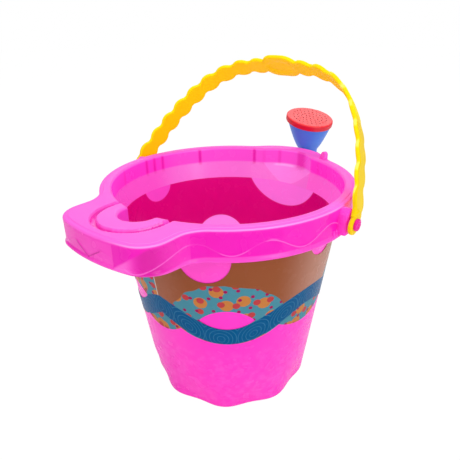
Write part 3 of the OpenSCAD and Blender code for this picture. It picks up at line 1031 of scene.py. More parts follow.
@dataclass(frozen=True)
class BailPlastic(PlainPlastic):
    """Plastic of the bail, with painted shade on the outer faces of its legs and a painted highlight on
    the beads' upper edges.
    """

    # Painted shade for the legs' outer faces, and a painted highlight for the beads' upper edges.
    outer: Colour = srgb(221, 188, 0)
    pale: Colour = srgb(255, 248, 120)

    def material(self, bail: "Bail") -> bpy.types.Material:
        """Builds the material from the place through the strip's thickness.

        Args:
            bail: The bail whose legs are toned.

        Returns:
            The finished material.
        """
        sh, colour = self.start()
        x, y, z = sh.axes()
        lean = math.radians(bail.lean)
        up = y * math.sin(lean) + (z - SIZES.pin_z) * math.cos(lean)
        side, rise = abs(x) - float(bail.leg_c[0]), up - float(bail.leg_c[1])
        through = sh.hypot(side, rise) - bail.leg_r
        # Painted shade on the outer face of each leg.
        leg = through.rise(1.0, 1.8) * up.fall(85.0, 105.0)
        colour = sh.mix(leg, colour, self.outer)
        # Painted highlight on the upper flank of each bead, along the front edge of the right leg.
        across = y * math.cos(lean) - (z - SIZES.pin_z) * math.sin(lean)
        turn = sh.math("ARCTAN2", side, rise) - math.radians(bail.shoulder_turn)
        beads = (turn * bail.leg_r + (bail.shoulder_l - bail.first)) / bail.pitch
        upper = (0 - sh.math("SINE", beads * (2 * math.pi), 0.0)).rise(-0.2, 0.9)
        edge = (0 - across).rise(6.2, 7.4) * x.rise(60.0, 80.0) * through.fall(0.8, 1.6)
        return self.finish(sh, sh.mix(edge * upper * 0.6, colour, self.pale))


@dataclass(frozen=True)
class CapPlastic(PlainPlastic):
    """Plastic of the perforated cap, with painted shade inside its holes and on its side."""

    # Painted shade inside the holes and on the side.
    bore: Colour = srgb(74, 2, 14)
    side: Colour = srgb(212, 10, 44)
    top: float = 2.4
    field_r: float = 23.5

    def material(self) -> bpy.types.Material:
        """Builds the material from the depth below the slanted top.

        Returns:
            The finished material.
        """
        sh, colour = self.start()
        x, y, z = sh.axes()
        lean, way = SIZES.rose_tilt, SIZES.rose_turn
        across = y - SIZES.rose_y
        up = x * (math.sin(lean) * math.cos(way)) + across * (math.sin(lean) * math.sin(way))
        up = up + (z - SIZES.rose_plane_z) * math.cos(lean)
        radius = sh.hypot(x, across)
        in_field = radius.fall(self.field_r, self.field_r + 1)
        # Painted shade on the side, below the top and outside the holes.
        colour = sh.mix(up.fall(0.9, 2.2) * (1 - in_field), colour, self.side)
        # Painted shade inside the holes.
        hole = up.fall(self.top - 0.25, self.top - 0.05) * in_field
        return self.finish(sh, sh.mix(hole, colour, self.bore))


@dataclass(frozen=True)
class PrintedFilm:
    """Glossy film with a waved band, aqua fields, plain dots and a painted sheen."""

    sand: Colour = srgb(145, 82, 50)
    sand_dark: Colour = srgb(135, 75, 44)
    # Pale colour of a painted sheen, standing for the room's reflection in the glossy film.
    painted_light: Colour = srgb(255, 214, 200)
    band: Colour = srgb(0, 82, 130)
    band_line: Colour = srgb(70, 134, 168)
    aqua: Colour = srgb(70, 134, 150)
    orange: Colour = srgb(188, 120, 62)
    coral: Colour = srgb(178, 62, 66)
    berry: Colour = srgb(150, 24, 84)
    seam: Colour = srgb(214, 190, 176)
    mean_r: float = 99.0
    mean_z: float = 117.0
    swing: float = 13.2
    trough_turn: float = 38.0
    pitch: float = 94.0
    side_start: float = 273.0
    side_trough: float = 331.0
    side_pitch: float = 37.0
    field_z: float = 106.3
    field_r: float = 56.7
    left_field_r: float = 92.0
    field_wobble: float = 9.0
    seam_z: float = 137.0
    lift_turn: float = 39.0
    band_half: float = 8.9
    band_swell: float = 2.2
    band_low: float = 1.2
    # Turns in degrees where the painted sheen fades in and out and its strength, then the same next to
    # the seam.
    sheen_in: tuple[float, float] = (60.0, 92.0)
    sheen_out: tuple[float, float] = (104.0, 126.0)
    fade: float = 0.22
    seam_turn: tuple[float, float] = (2.0, 22.0)
    seam_sheen: float = 0.06
    ripple_step: float = 15.0
    ripple_gap: float = 1.8
    ripple_drop: float = 4.0

    def material(self) -> bpy.types.Material:
        """Builds the print from the direction, counted from the seam, and the height of a point.

        Returns:
            The finished material.
        """
        sh = Shader("film_finish")
        x, y, z = sh.axes()
        turn = sh.wrap(sh.math("ARCTAN2", x, 0 - y), 0.0, 2 * math.pi)
        along = turn * self.mean_r
        near, phase, side = self.waves(sh, turn)
        z = z - (1 - sh.math("COSINE", turn - math.radians(self.lift_turn), 0.0)) * (WRAP.far_rise / 2)
        off = z - (self.mean_z - sh.math("COSINE", phase, 0.0) * self.swing)
        flank = sh.math("SINE", phase, 0.0)
        half = flank * flank * self.band_swell + self.band_half + off.fall(-1.0, 1.0) * self.band_low
        in_band = 1 - (abs(off) - half).rise(-0.35, 0.35)
        reach = side * (self.left_field_r - self.field_r) + self.field_r
        far = sh.hypot(near, z - self.field_z) - reach
        far = far + (sh.noise(55.0, 0.0) - 0.5) * self.field_wobble
        upper = far.fall(-0.4, 0.4) * off.rise(-1.0, 1.0)
        aqua = sh.highest(upper, off.fall(-1.0, 1.0))
        flat = sh.node("ShaderNodeCombineXYZ", sockets={0: along * MM, 1: z * MM})
        colour = sh.mix(sh.noise(30.0, 3.0) * 0.8, self.sand, self.sand_dark)
        degrees = turn * (180 / math.pi)
        # Painted sheen: paler in a band of turns and next to the seam, as if the film reflected the room.
        side_sheen = degrees.within(*self.sheen_in, *self.sheen_out) * self.fade
        by_seam = degrees.fall(*self.seam_turn) * self.seam_sheen
        colour = sh.mix(side_sheen + by_seam, colour, self.painted_light)
        colour = sh.mix(aqua, colour, self.dots(sh, flat))
        colour = sh.mix(in_band, colour, self.ripples(sh, along, off))
        seam = abs(x).fall(0.3, 0.7) * z.rise(self.seam_z - 1, self.seam_z)
        colour = sh.mix(seam * (0 - y).rise(0.0, 1.0), colour, self.seam)
        return sh.surface(
            {
                "Base Color": colour,
                "Roughness": sh.noise(90.0, 2.0) * 0.06 + 0.24,
                "Normal": sh.bump(sh.noise(700.0, 1.0), 0.012, 0.1),
                "Specular IOR Level": 0.04,
                "Coat Weight": 0.01,
                "Coat Roughness": 0.12,
            }
        )

    def waves(self, sh: Shader, turn: Wire) -> tuple[Wire, Wire, Wire]:
        """Finds the wave that a direction belongs to.

        Args:
            sh: The shader.
            turn: Direction in radians, counted from the seam.

        Returns:
            The place along the film from the wave's trough, the phase in the wave, and the mask of
            the narrower wave before the seam.
        """
        half_pitch = math.radians(self.pitch) * self.mean_r / 2
        start, trough = math.radians(self.side_start), math.radians(self.side_trough)
        ahead = (turn - math.radians(self.trough_turn)) * self.mean_r
        near = sh.wrap(ahead, -half_pitch, half_pitch)
        side = turn.rise(start - 1e-4, start)
        past = turn - trough
        before = math.pi / (trough - start)
        after = math.pi / math.radians(self.side_pitch)
        rate = past.rise(-1e-4, 1e-4) * (after - before) + before
        phase = near * (math.pi / half_pitch) * (1 - side) + past * rate * side
        return near * (1 - side) + past * self.mean_r * side, phase, side

    def dots(self, sh: Shader, flat: Wire) -> Wire:
        """Aqua with plain round dots of three sizes in warm colours.

        Args:
            sh: The shader.
            flat: Place on the unrolled film, in metres.

        Returns:
            The colour of the dotted fields.
        """
        colour: object = self.aqua
        layers = ((52.0, 0.3, self.orange), (66.0, 0.2, self.coral), (80.0, 0.12, self.berry))
        for k, (scale, size, paint) in enumerate(layers):
            shift = (0.37 * k, 0.21 * k, 0.0)
            moved = sh.node("ShaderNodeVectorMath", {"operation": "ADD"}, {0: flat, 1: shift})
            gap = sh.node(
                "ShaderNodeTexVoronoi",
                {"voronoi_dimensions": "2D"},
                {"Vector": moved, "Scale": scale, "Randomness": 0.6},
                "Distance",
            )
            colour = sh.mix(gap.fall(size, size + 0.03), colour, paint)
        return colour

    def ripples(self, sh: Shader, along: Wire, off: Wire) -> Wire:
        """Band colour with thin arcs round points spaced along the band.

        Args:
            sh: The shader.
            along: Place along the film.
            off: Height above the band's middle.

        Returns:
            The colour of the band.
        """
        cell = sh.math("PINGPONG", along, self.ripple_step)
        arcs = sh.math("PINGPONG", sh.hypot(cell, off + self.ripple_drop), self.ripple_gap)
        return sh.mix(arcs.fall(0.1, 0.45) * 0.55, self.band, self.band_line)


# Pieces of the bucket


@dataclass
class Tub:
    """Tapered wall and floor with a fluted foot."""

    count: int = 432
    floor_t: float = 3.0
    flute_n: int = 9
    flute_depth: float = 4.2
    flute_h: float = 40.0
    flute_turn: float = -6.0
    foot_r: float = 2.0
    fillet: float = 4.0
    floor_r: tuple[float, float] = (5.0, 40.0)
    film_low: float = 92.0
    film_sink: float = 0.15

    def flute(self, angles: np.ndarray, z: float) -> np.ndarray:
        """Depth of the flutes at a height.

        Args:
            angles: Directions in radians.
            z: Height.

        Returns:
            Depths in millimetres.
        """
        share = max(0.0, 1 - z / self.flute_h)
        fade = share * share * (3 - 2 * share) * 0.5 + share * 0.5
        tips = math.radians(-90 + self.flute_turn)
        return self.flute_depth * fade * (1 - np.cos(self.flute_n * (angles - tips))) / 2

    def build(self, material: bpy.types.Material) -> None:
        """Grows the tub from the floor's middle up the inside, down the outside and back.

        Args:
            material: The piece's finish.
        """
        angles = np.linspace(0, 2 * math.pi, self.count, endpoint=False)

        def inner(z: float) -> np.ndarray:
            """Ring of the inner wall at a height."""
            return ring_of(SIZES.wall_r(z) - SIZES.wall_t - self.flute(angles, z), z, angles)

        def outer(z: float, inset: float = 0.0) -> np.ndarray:
            """Ring of the outer wall at a height, drawn in by inset and sunk under the film."""
            hidden = self.film_sink if self.film_low < z < SIZES.seam_z - 0.5 else 0.0
            return ring_of(SIZES.wall_r(z) - self.flute(angles, z) - inset - hidden, z, angles)

        middle, rest = self.floor_r
        loft = Loft(ring_of(middle, self.floor_t, angles))
        corner_r = SIZES.wall_r(self.floor_t) - SIZES.wall_t - self.flute(angles, self.floor_t)
        loft.grow(ring_of(rest, self.floor_t, angles))
        for turn in np.linspace(0, math.pi / 2, 6):
            rise = self.floor_t + self.fillet * (1 - math.cos(turn))
            loft.grow(ring_of(corner_r - self.fillet * (1 - math.sin(turn)), rise, angles))
        for z in np.concatenate([np.linspace(10, 44, 14), np.linspace(60, SIZES.seam_z, 10)]):
            loft.grow(inner(float(z)))
        for z in np.concatenate([np.linspace(SIZES.seam_z, 91, 10), np.linspace(90, 46, 6)]):
            loft.grow(outer(float(z)))
        for z in np.linspace(43, self.foot_r, 18):
            loft.grow(outer(float(z)))
        for drop, inset in quarter(4):
            z = self.foot_r * (1 - inset)
            loft.grow(outer(z, self.foot_r * drop))
        loft.grow(ring_of(rest, 0.0, angles), ring_of(middle, 0.0, angles))
        loft.cap_ends()
        piece("tub_wall", loft.mesh, material, Body.BUCKET, ["tub"], 35.0)


@dataclass
class RimMoulding:
    """Skirted rim with collar, shoulder, rear bay and the hollow grip lip."""

    count: int = 720
    edge_r: float = 1.6
    inner_edge_r: float = 2.8
    skirt_t: float = 2.2
    bead_h: float = 4.0
    bead_out: float = 1.2
    lip_half: float = 56.5
    lip_reach: float = 165.0
    lip_corner_r: float = 24.0
    lip_root_r: float = 12.0
    lip_lift: float = 5.0
    lobe_r: float = 61.5
    notch_r: float = 17.5
    notch_y: float = 115.0
    lobe_root_r: float = 3.0
    mouth_root_r: float = 1.2
    seam_root_r: float = 0.4
    groove_w: float = 5.0
    groove_depth: float = 4.0
    groove_soft: float = 0.5
    groove_end_y: float = 92.0
    border_w: float = 2.6
    border_step: float = 0.45
    wave_out: float = 0.7
    wave_half: float = 1.1
    bead: tuple[tuple[float, float], ...] = (
        (0.0, 0.0),
        (0.15, 0.5),
        (0.6, 1.2),
        (1.0, 2.0),
        (1.0, 3.2),
        (0.8, 3.8),
        (0.3, 4.0),
    )
    top_rings: int = 44
    angles: np.ndarray = field(init=False)

    def __post_init__(self) -> None:
        """Spreads the rays of the rings."""
        self.angles = np.linspace(0, 2 * math.pi, self.count, endpoint=False)

    def lip(self, x: np.ndarray, y: np.ndarray) -> np.ndarray:
        """Distance to the grip lip's outline.

        Args:
            x: Places across the bucket.
            y: Places along the bucket.

        Returns:
            Distances, negative inside.
        """
        core_x = self.lip_half - self.lip_corner_r
        core_r = self.lip_reach - self.lip_corner_r
        core_y = math.sqrt(core_r**2 - core_x**2)
        side, radius = np.abs(x), np.maximum(np.hypot(x, y), 1e-6)
        front = (side * core_r <= core_x * radius) & (radius > core_r)
        corner = np.hypot(np.maximum(side - core_x, 0), np.maximum(-y - core_y, 0))
        away = np.where(-y < core_y, side - core_x, corner)
        away = np.where(front, radius - core_r, away)
        within = (side <= core_x) & (radius <= core_r)
        away = np.where(within, np.maximum(side - core_x, radius - core_r), away)
        return np.where(y < 0, away - self.lip_corner_r, 1e3)

    def outline(self, x: np.ndarray, y: np.ndarray) -> np.ndarray:
        """Distance to the outline of rim, lip and rear lobe.

        Args:
            x: Places across the bucket.
            y: Places along the bucket.

        Returns:
            Distances, negative inside.
        """
        rim = np.hypot(x, y) - SIZES.rim_r
        lobe = np.hypot(x, y - SIZES.bay_y) - self.lobe_r
        back = round_union(rim, lobe, self.lobe_root_r)
        return round_union(back, self.lip(x, y), self.lip_root_r)

    def mouth(self, x: np.ndarray, y: np.ndarray, z: float) -> np.ndarray:
        """Distance to the mouth's outline at a height.

        Args:
            x: Places across the bucket.
            y: Places along the bucket.
            z: Height.

        Returns:
            Distances, negative inside.
        """
        share = SIZES.shoulder(z)
        seam_r = SIZES.wall_top_r - SIZES.wall_t
        circle = np.hypot(x, y) - (seam_r + (SIZES.rim_in_r - seam_r) * share)
        bay = np.hypot(x, y - SIZES.bay_y) - SIZES.bay_wall_r(z)
        reach = np.clip(-y, 0, self.notch_y)
        notch = np.hypot(x, y + reach) - self.notch_r
        chute_y = seam_r - self.notch_r
        chute_r = self.notch_r + (self.notch_y - chute_y) * share
        notch = np.maximum(notch, np.hypot(x, y + chute_y) - chute_r)
        fillet = self.seam_root_r + self.mouth_root_r * share
        return round_union(round_union(circle, bay, fillet), notch, fillet)

    def groove(self, x: np.ndarray, y: np.ndarray) -> np.ndarray:
        """Depth of the horseshoe groove at a point of the top.

        Args:
            x: Places across the bucket.
            y: Places along the bucket.

        Returns:
            Depths in millimetres.
        """
        round_part = np.abs(np.hypot(x, y + SIZES.groove_y) - SIZES.groove_r)
        past = np.maximum(y + self.groove_end_y, 0)
        leg = np.hypot(np.abs(x) - SIZES.groove_r, past)
        gap = np.where(y < -SIZES.groove_y, round_part, leg)
        share = np.clip(self.groove_w / 2 + self.groove_soft - gap, 0, 1)
        return self.groove_depth * share * share * (3 - 2 * share)

    def edge_z(self, y: np.ndarray) -> np.ndarray:
        """Height of the skirt's lower edge, which rises under the lip."""
        slope = math.tan(math.radians(self.lip_lift))
        return SIZES.skirt_z + np.maximum(-y - SIZES.lip_root_y, 0) * slope

    def outer_ring(self, inset: float, z: Span) -> np.ndarray:
        """Ring on the outline, drawn in by inset."""
        return ring_of(trace(self.outline, -inset, self.angles), z, self.angles)

    def mouth_ring(self, grow: float, z: float, section: Optional[float] = None) -> np.ndarray:
        """Ring on the mouth's outline at a height, moved out by grow.

        Args:
            grow: How far it lies outside the outline.
            z: Height of the ring.
            section: Height at which the outline is taken, or None for the ring's own.

        Returns:
            Points of the ring.
        """
        level = z if section is None else section
        radius = trace(lambda x, y: self.mouth(x, y, level), grow, self.angles)
        return ring_of(radius, z, self.angles)

    def inside_rings(self) -> list[np.ndarray]:
        """Shoulder, chute and collar, up to the start of the top.

        Returns:
            The rings in order.
        """
        rings = [self.mouth_ring(0.0, float(z)) for z in np.linspace(SIZES.seam_z, SIZES.collar_z, 10)]
        start = SIZES.height - self.inner_edge_r
        rings += [self.mouth_ring(0.0, float(z)) for z in np.linspace(SIZES.collar_z + 1, start, 5)]
        for back, up in quarter(4):
            rings.append(self.mouth_ring(self.inner_edge_r * back, start + self.inner_edge_r * up, start))
        for ring in rings:
            floor = SIZES.height - self.groove(ring[:, 0], ring[:, 1])
            ring[:, 2] = np.minimum(ring[:, 2], floor)
        return rings

    def top_ring(self, inner: np.ndarray, outer: np.ndarray, share: float) -> np.ndarray:
        """Ring on the top between its inner and outer edge, sunk in the groove.

        Args:
            inner: Inner edge of the top.
            outer: Its outer edge.
            share: Share of the way, from 0 to 1.

        Returns:
            Points of the ring.
        """
        ring = inner + (outer - inner) * share
        ring[:, 2] = SIZES.height - self.groove(ring[:, 0], ring[:, 1])
        return ring

    def border_rings(self) -> list[np.ndarray]:
        """Narrow step along the outer edge of the top.

        Returns:
            The rings in order.
        """
        low = SIZES.height - self.border_step
        steps = ((0.3, SIZES.height), (0.0, SIZES.height - 0.1), (-0.2, low + 0.1), (-0.45, low))
        return [self.outer_ring(self.edge_r + self.border_w + off, z) for off, z in steps]

    def skirt_rings(self) -> list[np.ndarray]:
        """Outer edge, skirt with its raised wave, and the bead down to the lower edge.

        Returns:
            The rings in order.
        """
        crown = SIZES.height - self.border_step
        top = crown - self.edge_r
        rings = [self.outer_ring(self.edge_r, crown)]
        for out, down in quarter(4):
            rings.append(self.outer_ring(self.edge_r * (1 - down), crown - self.edge_r * out))
        plain = trace(self.outline, 0.0, self.angles)
        y = plain * np.sin(self.angles)
        edge = self.edge_z(y)
        wave, relief = WAVE.heights(self.angles), WAVE.relief(self.angles)
        bead_top = edge + self.bead_h
        for share in np.linspace(0.04, 0.97, 28):
            z = top + (bead_top - top) * share
            lift = np.clip(1 - np.abs(z - wave) / self.wave_half, 0, 1)
            out = self.wave_out * relief * lift * lift * (3 - 2 * lift)
            rings.append(ring_of(plain + out, z, self.angles))
        for out, drop in self.bead:
            rings.append(self.outer_ring(-self.bead_out * out, bead_top - drop))
        return rings

    def under_rings(self) -> list[np.ndarray]:
        """Inside of the skirt, underside of the top, and outside of collar and shoulder.

        Returns:
            The rings in order.
        """
        edge = self.edge_z(trace(self.outline, 0.0, self.angles) * np.sin(self.angles))
        under_z = SIZES.height - SIZES.wall_t
        rings = [self.outer_ring(self.skirt_t, z) for z in (edge, edge + 2.0, under_z)]
        outer, inner = rings[-1], self.mouth_ring(SIZES.wall_t, under_z)
        for share in np.linspace(0.08, 1.0, 14):
            ring = outer + (inner - outer) * share
            ring[:, 2] = under_z - self.groove(ring[:, 0], ring[:, 1])
            rings.append(ring)
        for z in np.concatenate([[215.0], np.linspace(SIZES.collar_z, SIZES.seam_z, 6)]):
            rings.append(self.mouth_ring(SIZES.wall_t, float(z)))
        return rings

    def build(self, material: bpy.types.Material) -> None:
        """Grows the rim round its whole section and closes it.

        Args:
            material: The piece's finish.
        """
        inside = self.inside_rings()
        loft = Loft(inside[0]).grow(*inside[1:])
        border = self.border_rings()
        for k in range(1, self.top_rings):
            loft.grow(self.top_ring(inside[-1], border[0], k / self.top_rings))
        loft.grow(*border, *self.skirt_rings(), *self.under_rings()).join_ends()
        nodes = ["rim", "grip_lip"]
        piece("rim_moulding", loft.mesh, material, Body.BUCKET, nodes, 50.0)


@dataclass
class Bail:
    """Flat handle strip shaped like a row of beads, with a grip pad and two eyes."""

    strip_t: float = 4.0
    strip_w: float = 15.8
    bead_w: float = 23.0
    bead_n: int = 9
    pad_l: float = 44.0
    pad_w: float = 32.0
    end_x: float = 133.3
    flare: float = 3.4
    flare_l: float = 42.0
    eye_x: float = 135.0
    eye_t: float = 3.4
    eye_r: float = 8.3
    eye_drop: float = 1.2
    eye_rise: float = 13.0
    eye_top_r: float = 6.2
    bore_r: float = 5.05
    top_turn: float = 8.5
    shoulder_r: float = 84.0
    shoulder_turn: float = 54.0
    leg_r: float = 208.0
    leg_turn: float = 86.0
    lean: float = 39.0
    edge_r: float = 1.3
    dish_l: float = 34.0
    dish_w: float = 19.0
    dish_depth: float = 0.8
    across: int = 14
    bead_power: float = 14.0
    blend_l: float = 10.0
    blend_lead: float = 1.4
    blend_in: float = 0.4
    strip_end: float = 4.0
    strip_rings: int = 520
    eye_edge: float = 1.0
    bore_edge: float = 0.4

    def __post_init__(self) -> None:
        """Works out the arcs of the strip's middle line."""
        top, shoulder, leg = (math.radians(a) for a in (self.top_turn, self.shoulder_turn, self.leg_turn))
        shoulder_x = self.shoulder_r * (math.sin(shoulder) - math.sin(top))
        leg_x = self.leg_r * (math.sin(leg) - math.sin(shoulder))
        self.top_r = (self.end_x - shoulder_x - leg_x) / math.sin(top)
        self.leg_c = np.array([self.end_x, 0.0]) - self.leg_r * self.heading(leg)
        self.shoulder_c = self.leg_c + (self.leg_r - self.shoulder_r) * self.heading(shoulder)
        self.top_c = self.shoulder_c + (self.shoulder_r - self.top_r) * self.heading(top)
        self.top_l = self.top_r * top
        self.shoulder_l = self.top_l + self.shoulder_r * (shoulder - top)
        self.half_l = self.shoulder_l + self.leg_r * (leg - shoulder)
        self.first = self.pad_l / 2 + self.bead_w / 4
        self.pitch = (self.half_l - self.first) / self.bead_n

    @staticmethod
    def heading(turn: float) -> np.ndarray:
        """Unit vector square to the strip where it has turned by an angle."""
        return np.array([math.sin(turn), math.cos(turn)])

    def spot(self, s: float) -> tuple[np.ndarray, np.ndarray]:
        """Point and outward direction of the middle line at a distance from the top.

        Args:
            s: Distance from the strip's top, negative towards -X.

        Returns:
            The point and the direction, in the upright bail's plane.
        """
        far = abs(s)
        if far < self.top_l:
            centre, radius, turn = self.top_c, self.top_r, far / self.top_r
        elif far < self.shoulder_l:
            turn = math.radians(self.top_turn) + (far - self.top_l) / self.shoulder_r
            centre, radius = self.shoulder_c, self.shoulder_r
        else:
            turn = math.radians(self.shoulder_turn) + (far - self.shoulder_l) / self.leg_r
            centre, radius = self.leg_c, self.leg_r
        out = self.heading(turn)
        near = min(1.0, max(0.0, 1 - (self.half_l - far) / self.flare_l))
        point = centre + radius * out + np.array([self.flare * near * near * (3 - 2 * near), 0.0])
        flip = np.array([1.0 if s >= 0 else -1.0, 1.0])
        return point * flip, out * flip

    def half_width(self, s: float) -> float:
        """Half the strip's width at a distance from its top.

        Args:
            s: Distance from the strip's top, negative towards -X.

        Returns:
            Half the width in millimetres.
        """
        far = abs(s)
        shift = (self.pad_l - self.pad_w) / 2
        rounds = [(self.first + k * self.pitch, self.bead_w / 2) for k in range(self.bead_n)]
        rounds.append((min(far, shift), self.pad_w / 2))
        power = self.bead_power
        total = (self.strip_w / 2) ** power
        for middle, radius in rounds:
            total += max(0.0, radius**2 - (far - middle) ** 2) ** (power / 2)
        near = min(1.0, max(0.0, self.blend_lead - (self.half_l - far) / self.blend_l))
        return total ** (1 / power) * (1 - near) + (self.eye_r - self.blend_in) * near

    def section(self, s: float) -> list[tuple[float, float]]:
        """Rounded section as pairs of places across the width and through the thickness.

        Args:
            s: Distance from the strip's top, negative towards -X.

        Returns:
            Places across and through, in order round the section.
        """
        half_w, half_t = self.half_width(s), self.strip_t / 2
        flat_w = half_w - self.edge_r
        pairs = []
        for face in (1, -1):
            for k in range(self.across + 1):
                cross = face * flat_w * (1 - 2 * k / self.across)
                dish = (2 * s / self.dish_l) ** 2 + (2 * cross / self.dish_w) ** 2
                sunk = self.dish_depth * min(1.0, max(0.0, (1 - dish) * 4)) if face < 0 else 0.0
                pairs.append((cross, face * (half_t - sunk)))
            for way, steps in ((1, (1, 2, 3)), (-1, (3, 2, 1))):
                for k in steps:
                    turn = math.pi / 6 * k
                    cross = flat_w + self.edge_r * math.sin(turn)
                    through = half_t - self.edge_r * (1 - math.cos(turn))
                    pairs.append((-face * cross, way * face * through))
        return pairs

    def stand(self, points: np.ndarray) -> np.ndarray:
        """Leans upright points back over the pins.

        Args:
            points: Points of the upright bail.

        Returns:
            The points where the bail rests.
        """
        turn = math.radians(self.lean)
        y, z = points[:, 1], points[:, 2]
        back = y * math.cos(turn) + z * math.sin(turn)
        up = z * math.cos(turn) - y * math.sin(turn)
        return np.stack([points[:, 0], back, up + SIZES.pin_z], -1)

    def strip_ring(self, s: float) -> np.ndarray:
        """Ring of the strip at a distance from its top.

        Args:
            s: Distance from the strip's top, negative towards -X.

        Returns:
            Points of the ring.
        """
        point, out = self.spot(s)
        ring = [
            (point[0] + out[0] * through, cross, point[1] + out[1] * through)
            for cross, through in self.section(s)
        ]
        return self.stand(np.array(ring))

    def build_strip(self, material: bpy.types.Material) -> None:
        """Grows the strip from one eye to the other.

        Args:
            material: The piece's finish.
        """
        places = np.linspace(self.strip_end - self.half_l, self.half_l - self.strip_end, self.strip_rings)
        loft = Loft(self.strip_ring(float(places[0])))
        loft.grow(*(self.strip_ring(float(s)) for s in places[1:])).cap_ends()
        piece("bail_strip", loft.mesh, material, Body.HANDLE, ["bail"])

    def build_eye(self, side: int, material: bpy.types.Material) -> None:
        """Grows a flat rounded end round its pin.

        Args:
            side: 1 on the +X side, -1 on the other.
            material: The strip's finish.
        """
        angles = np.linspace(0, 2 * math.pi, 72, endpoint=False)

        def tab(y: np.ndarray, z: np.ndarray) -> np.ndarray:
            """Distance to the upright outline, which narrows towards the strip.

            Args:
                y: Places across the strip.
                z: Heights above the pin.

            Returns:
                Distances, negative inside.
            """
            gaps = []
            for share in np.linspace(0, 1, 24):
                middle = -self.eye_drop + (self.eye_rise - self.eye_top_r + self.eye_drop) * share
                radius = self.eye_r + (self.eye_top_r - self.eye_r) * share
                gaps.append(np.hypot(y, z - middle) - radius)
            return np.min(gaps, axis=0)

        def ring(radius: Span, x: float) -> np.ndarray:
            """Ring round the pin at a radius and a distance from the bucket's middle.

            Args:
                radius: Radius of the ring.
                x: Distance from the bucket's middle.

            Returns:
                Points of the ring.
            """
            spread = np.ones_like(angles)
            flat = [side * x * spread, radius * np.cos(angles), radius * np.sin(angles)]
            return self.stand(np.stack(flat, -1))

        near, far = self.eye_x, self.eye_x + self.eye_t
        edge, bore, chamfer = self.eye_edge, self.bore_r, self.bore_edge
        rounds = [(edge, near), (edge * 0.3, near + edge * 0.3), (0.0, near + edge)]
        rounds += [(0.0, far - edge), (edge * 0.3, far - edge * 0.3), (edge, far)]
        rings = [ring(trace(tab, -inset, angles), x) for inset, x in rounds]
        rings += [ring(bore + chamfer, far), ring(bore, far - chamfer)]
        rings += [ring(bore, near + chamfer), ring(bore + chamfer, near)]
        loft = Loft(rings[0]).grow(*rings[1:]).join_ends()
        piece(f"bail_eye_{hand(side)}", loft.mesh, material, Body.HANDLE)


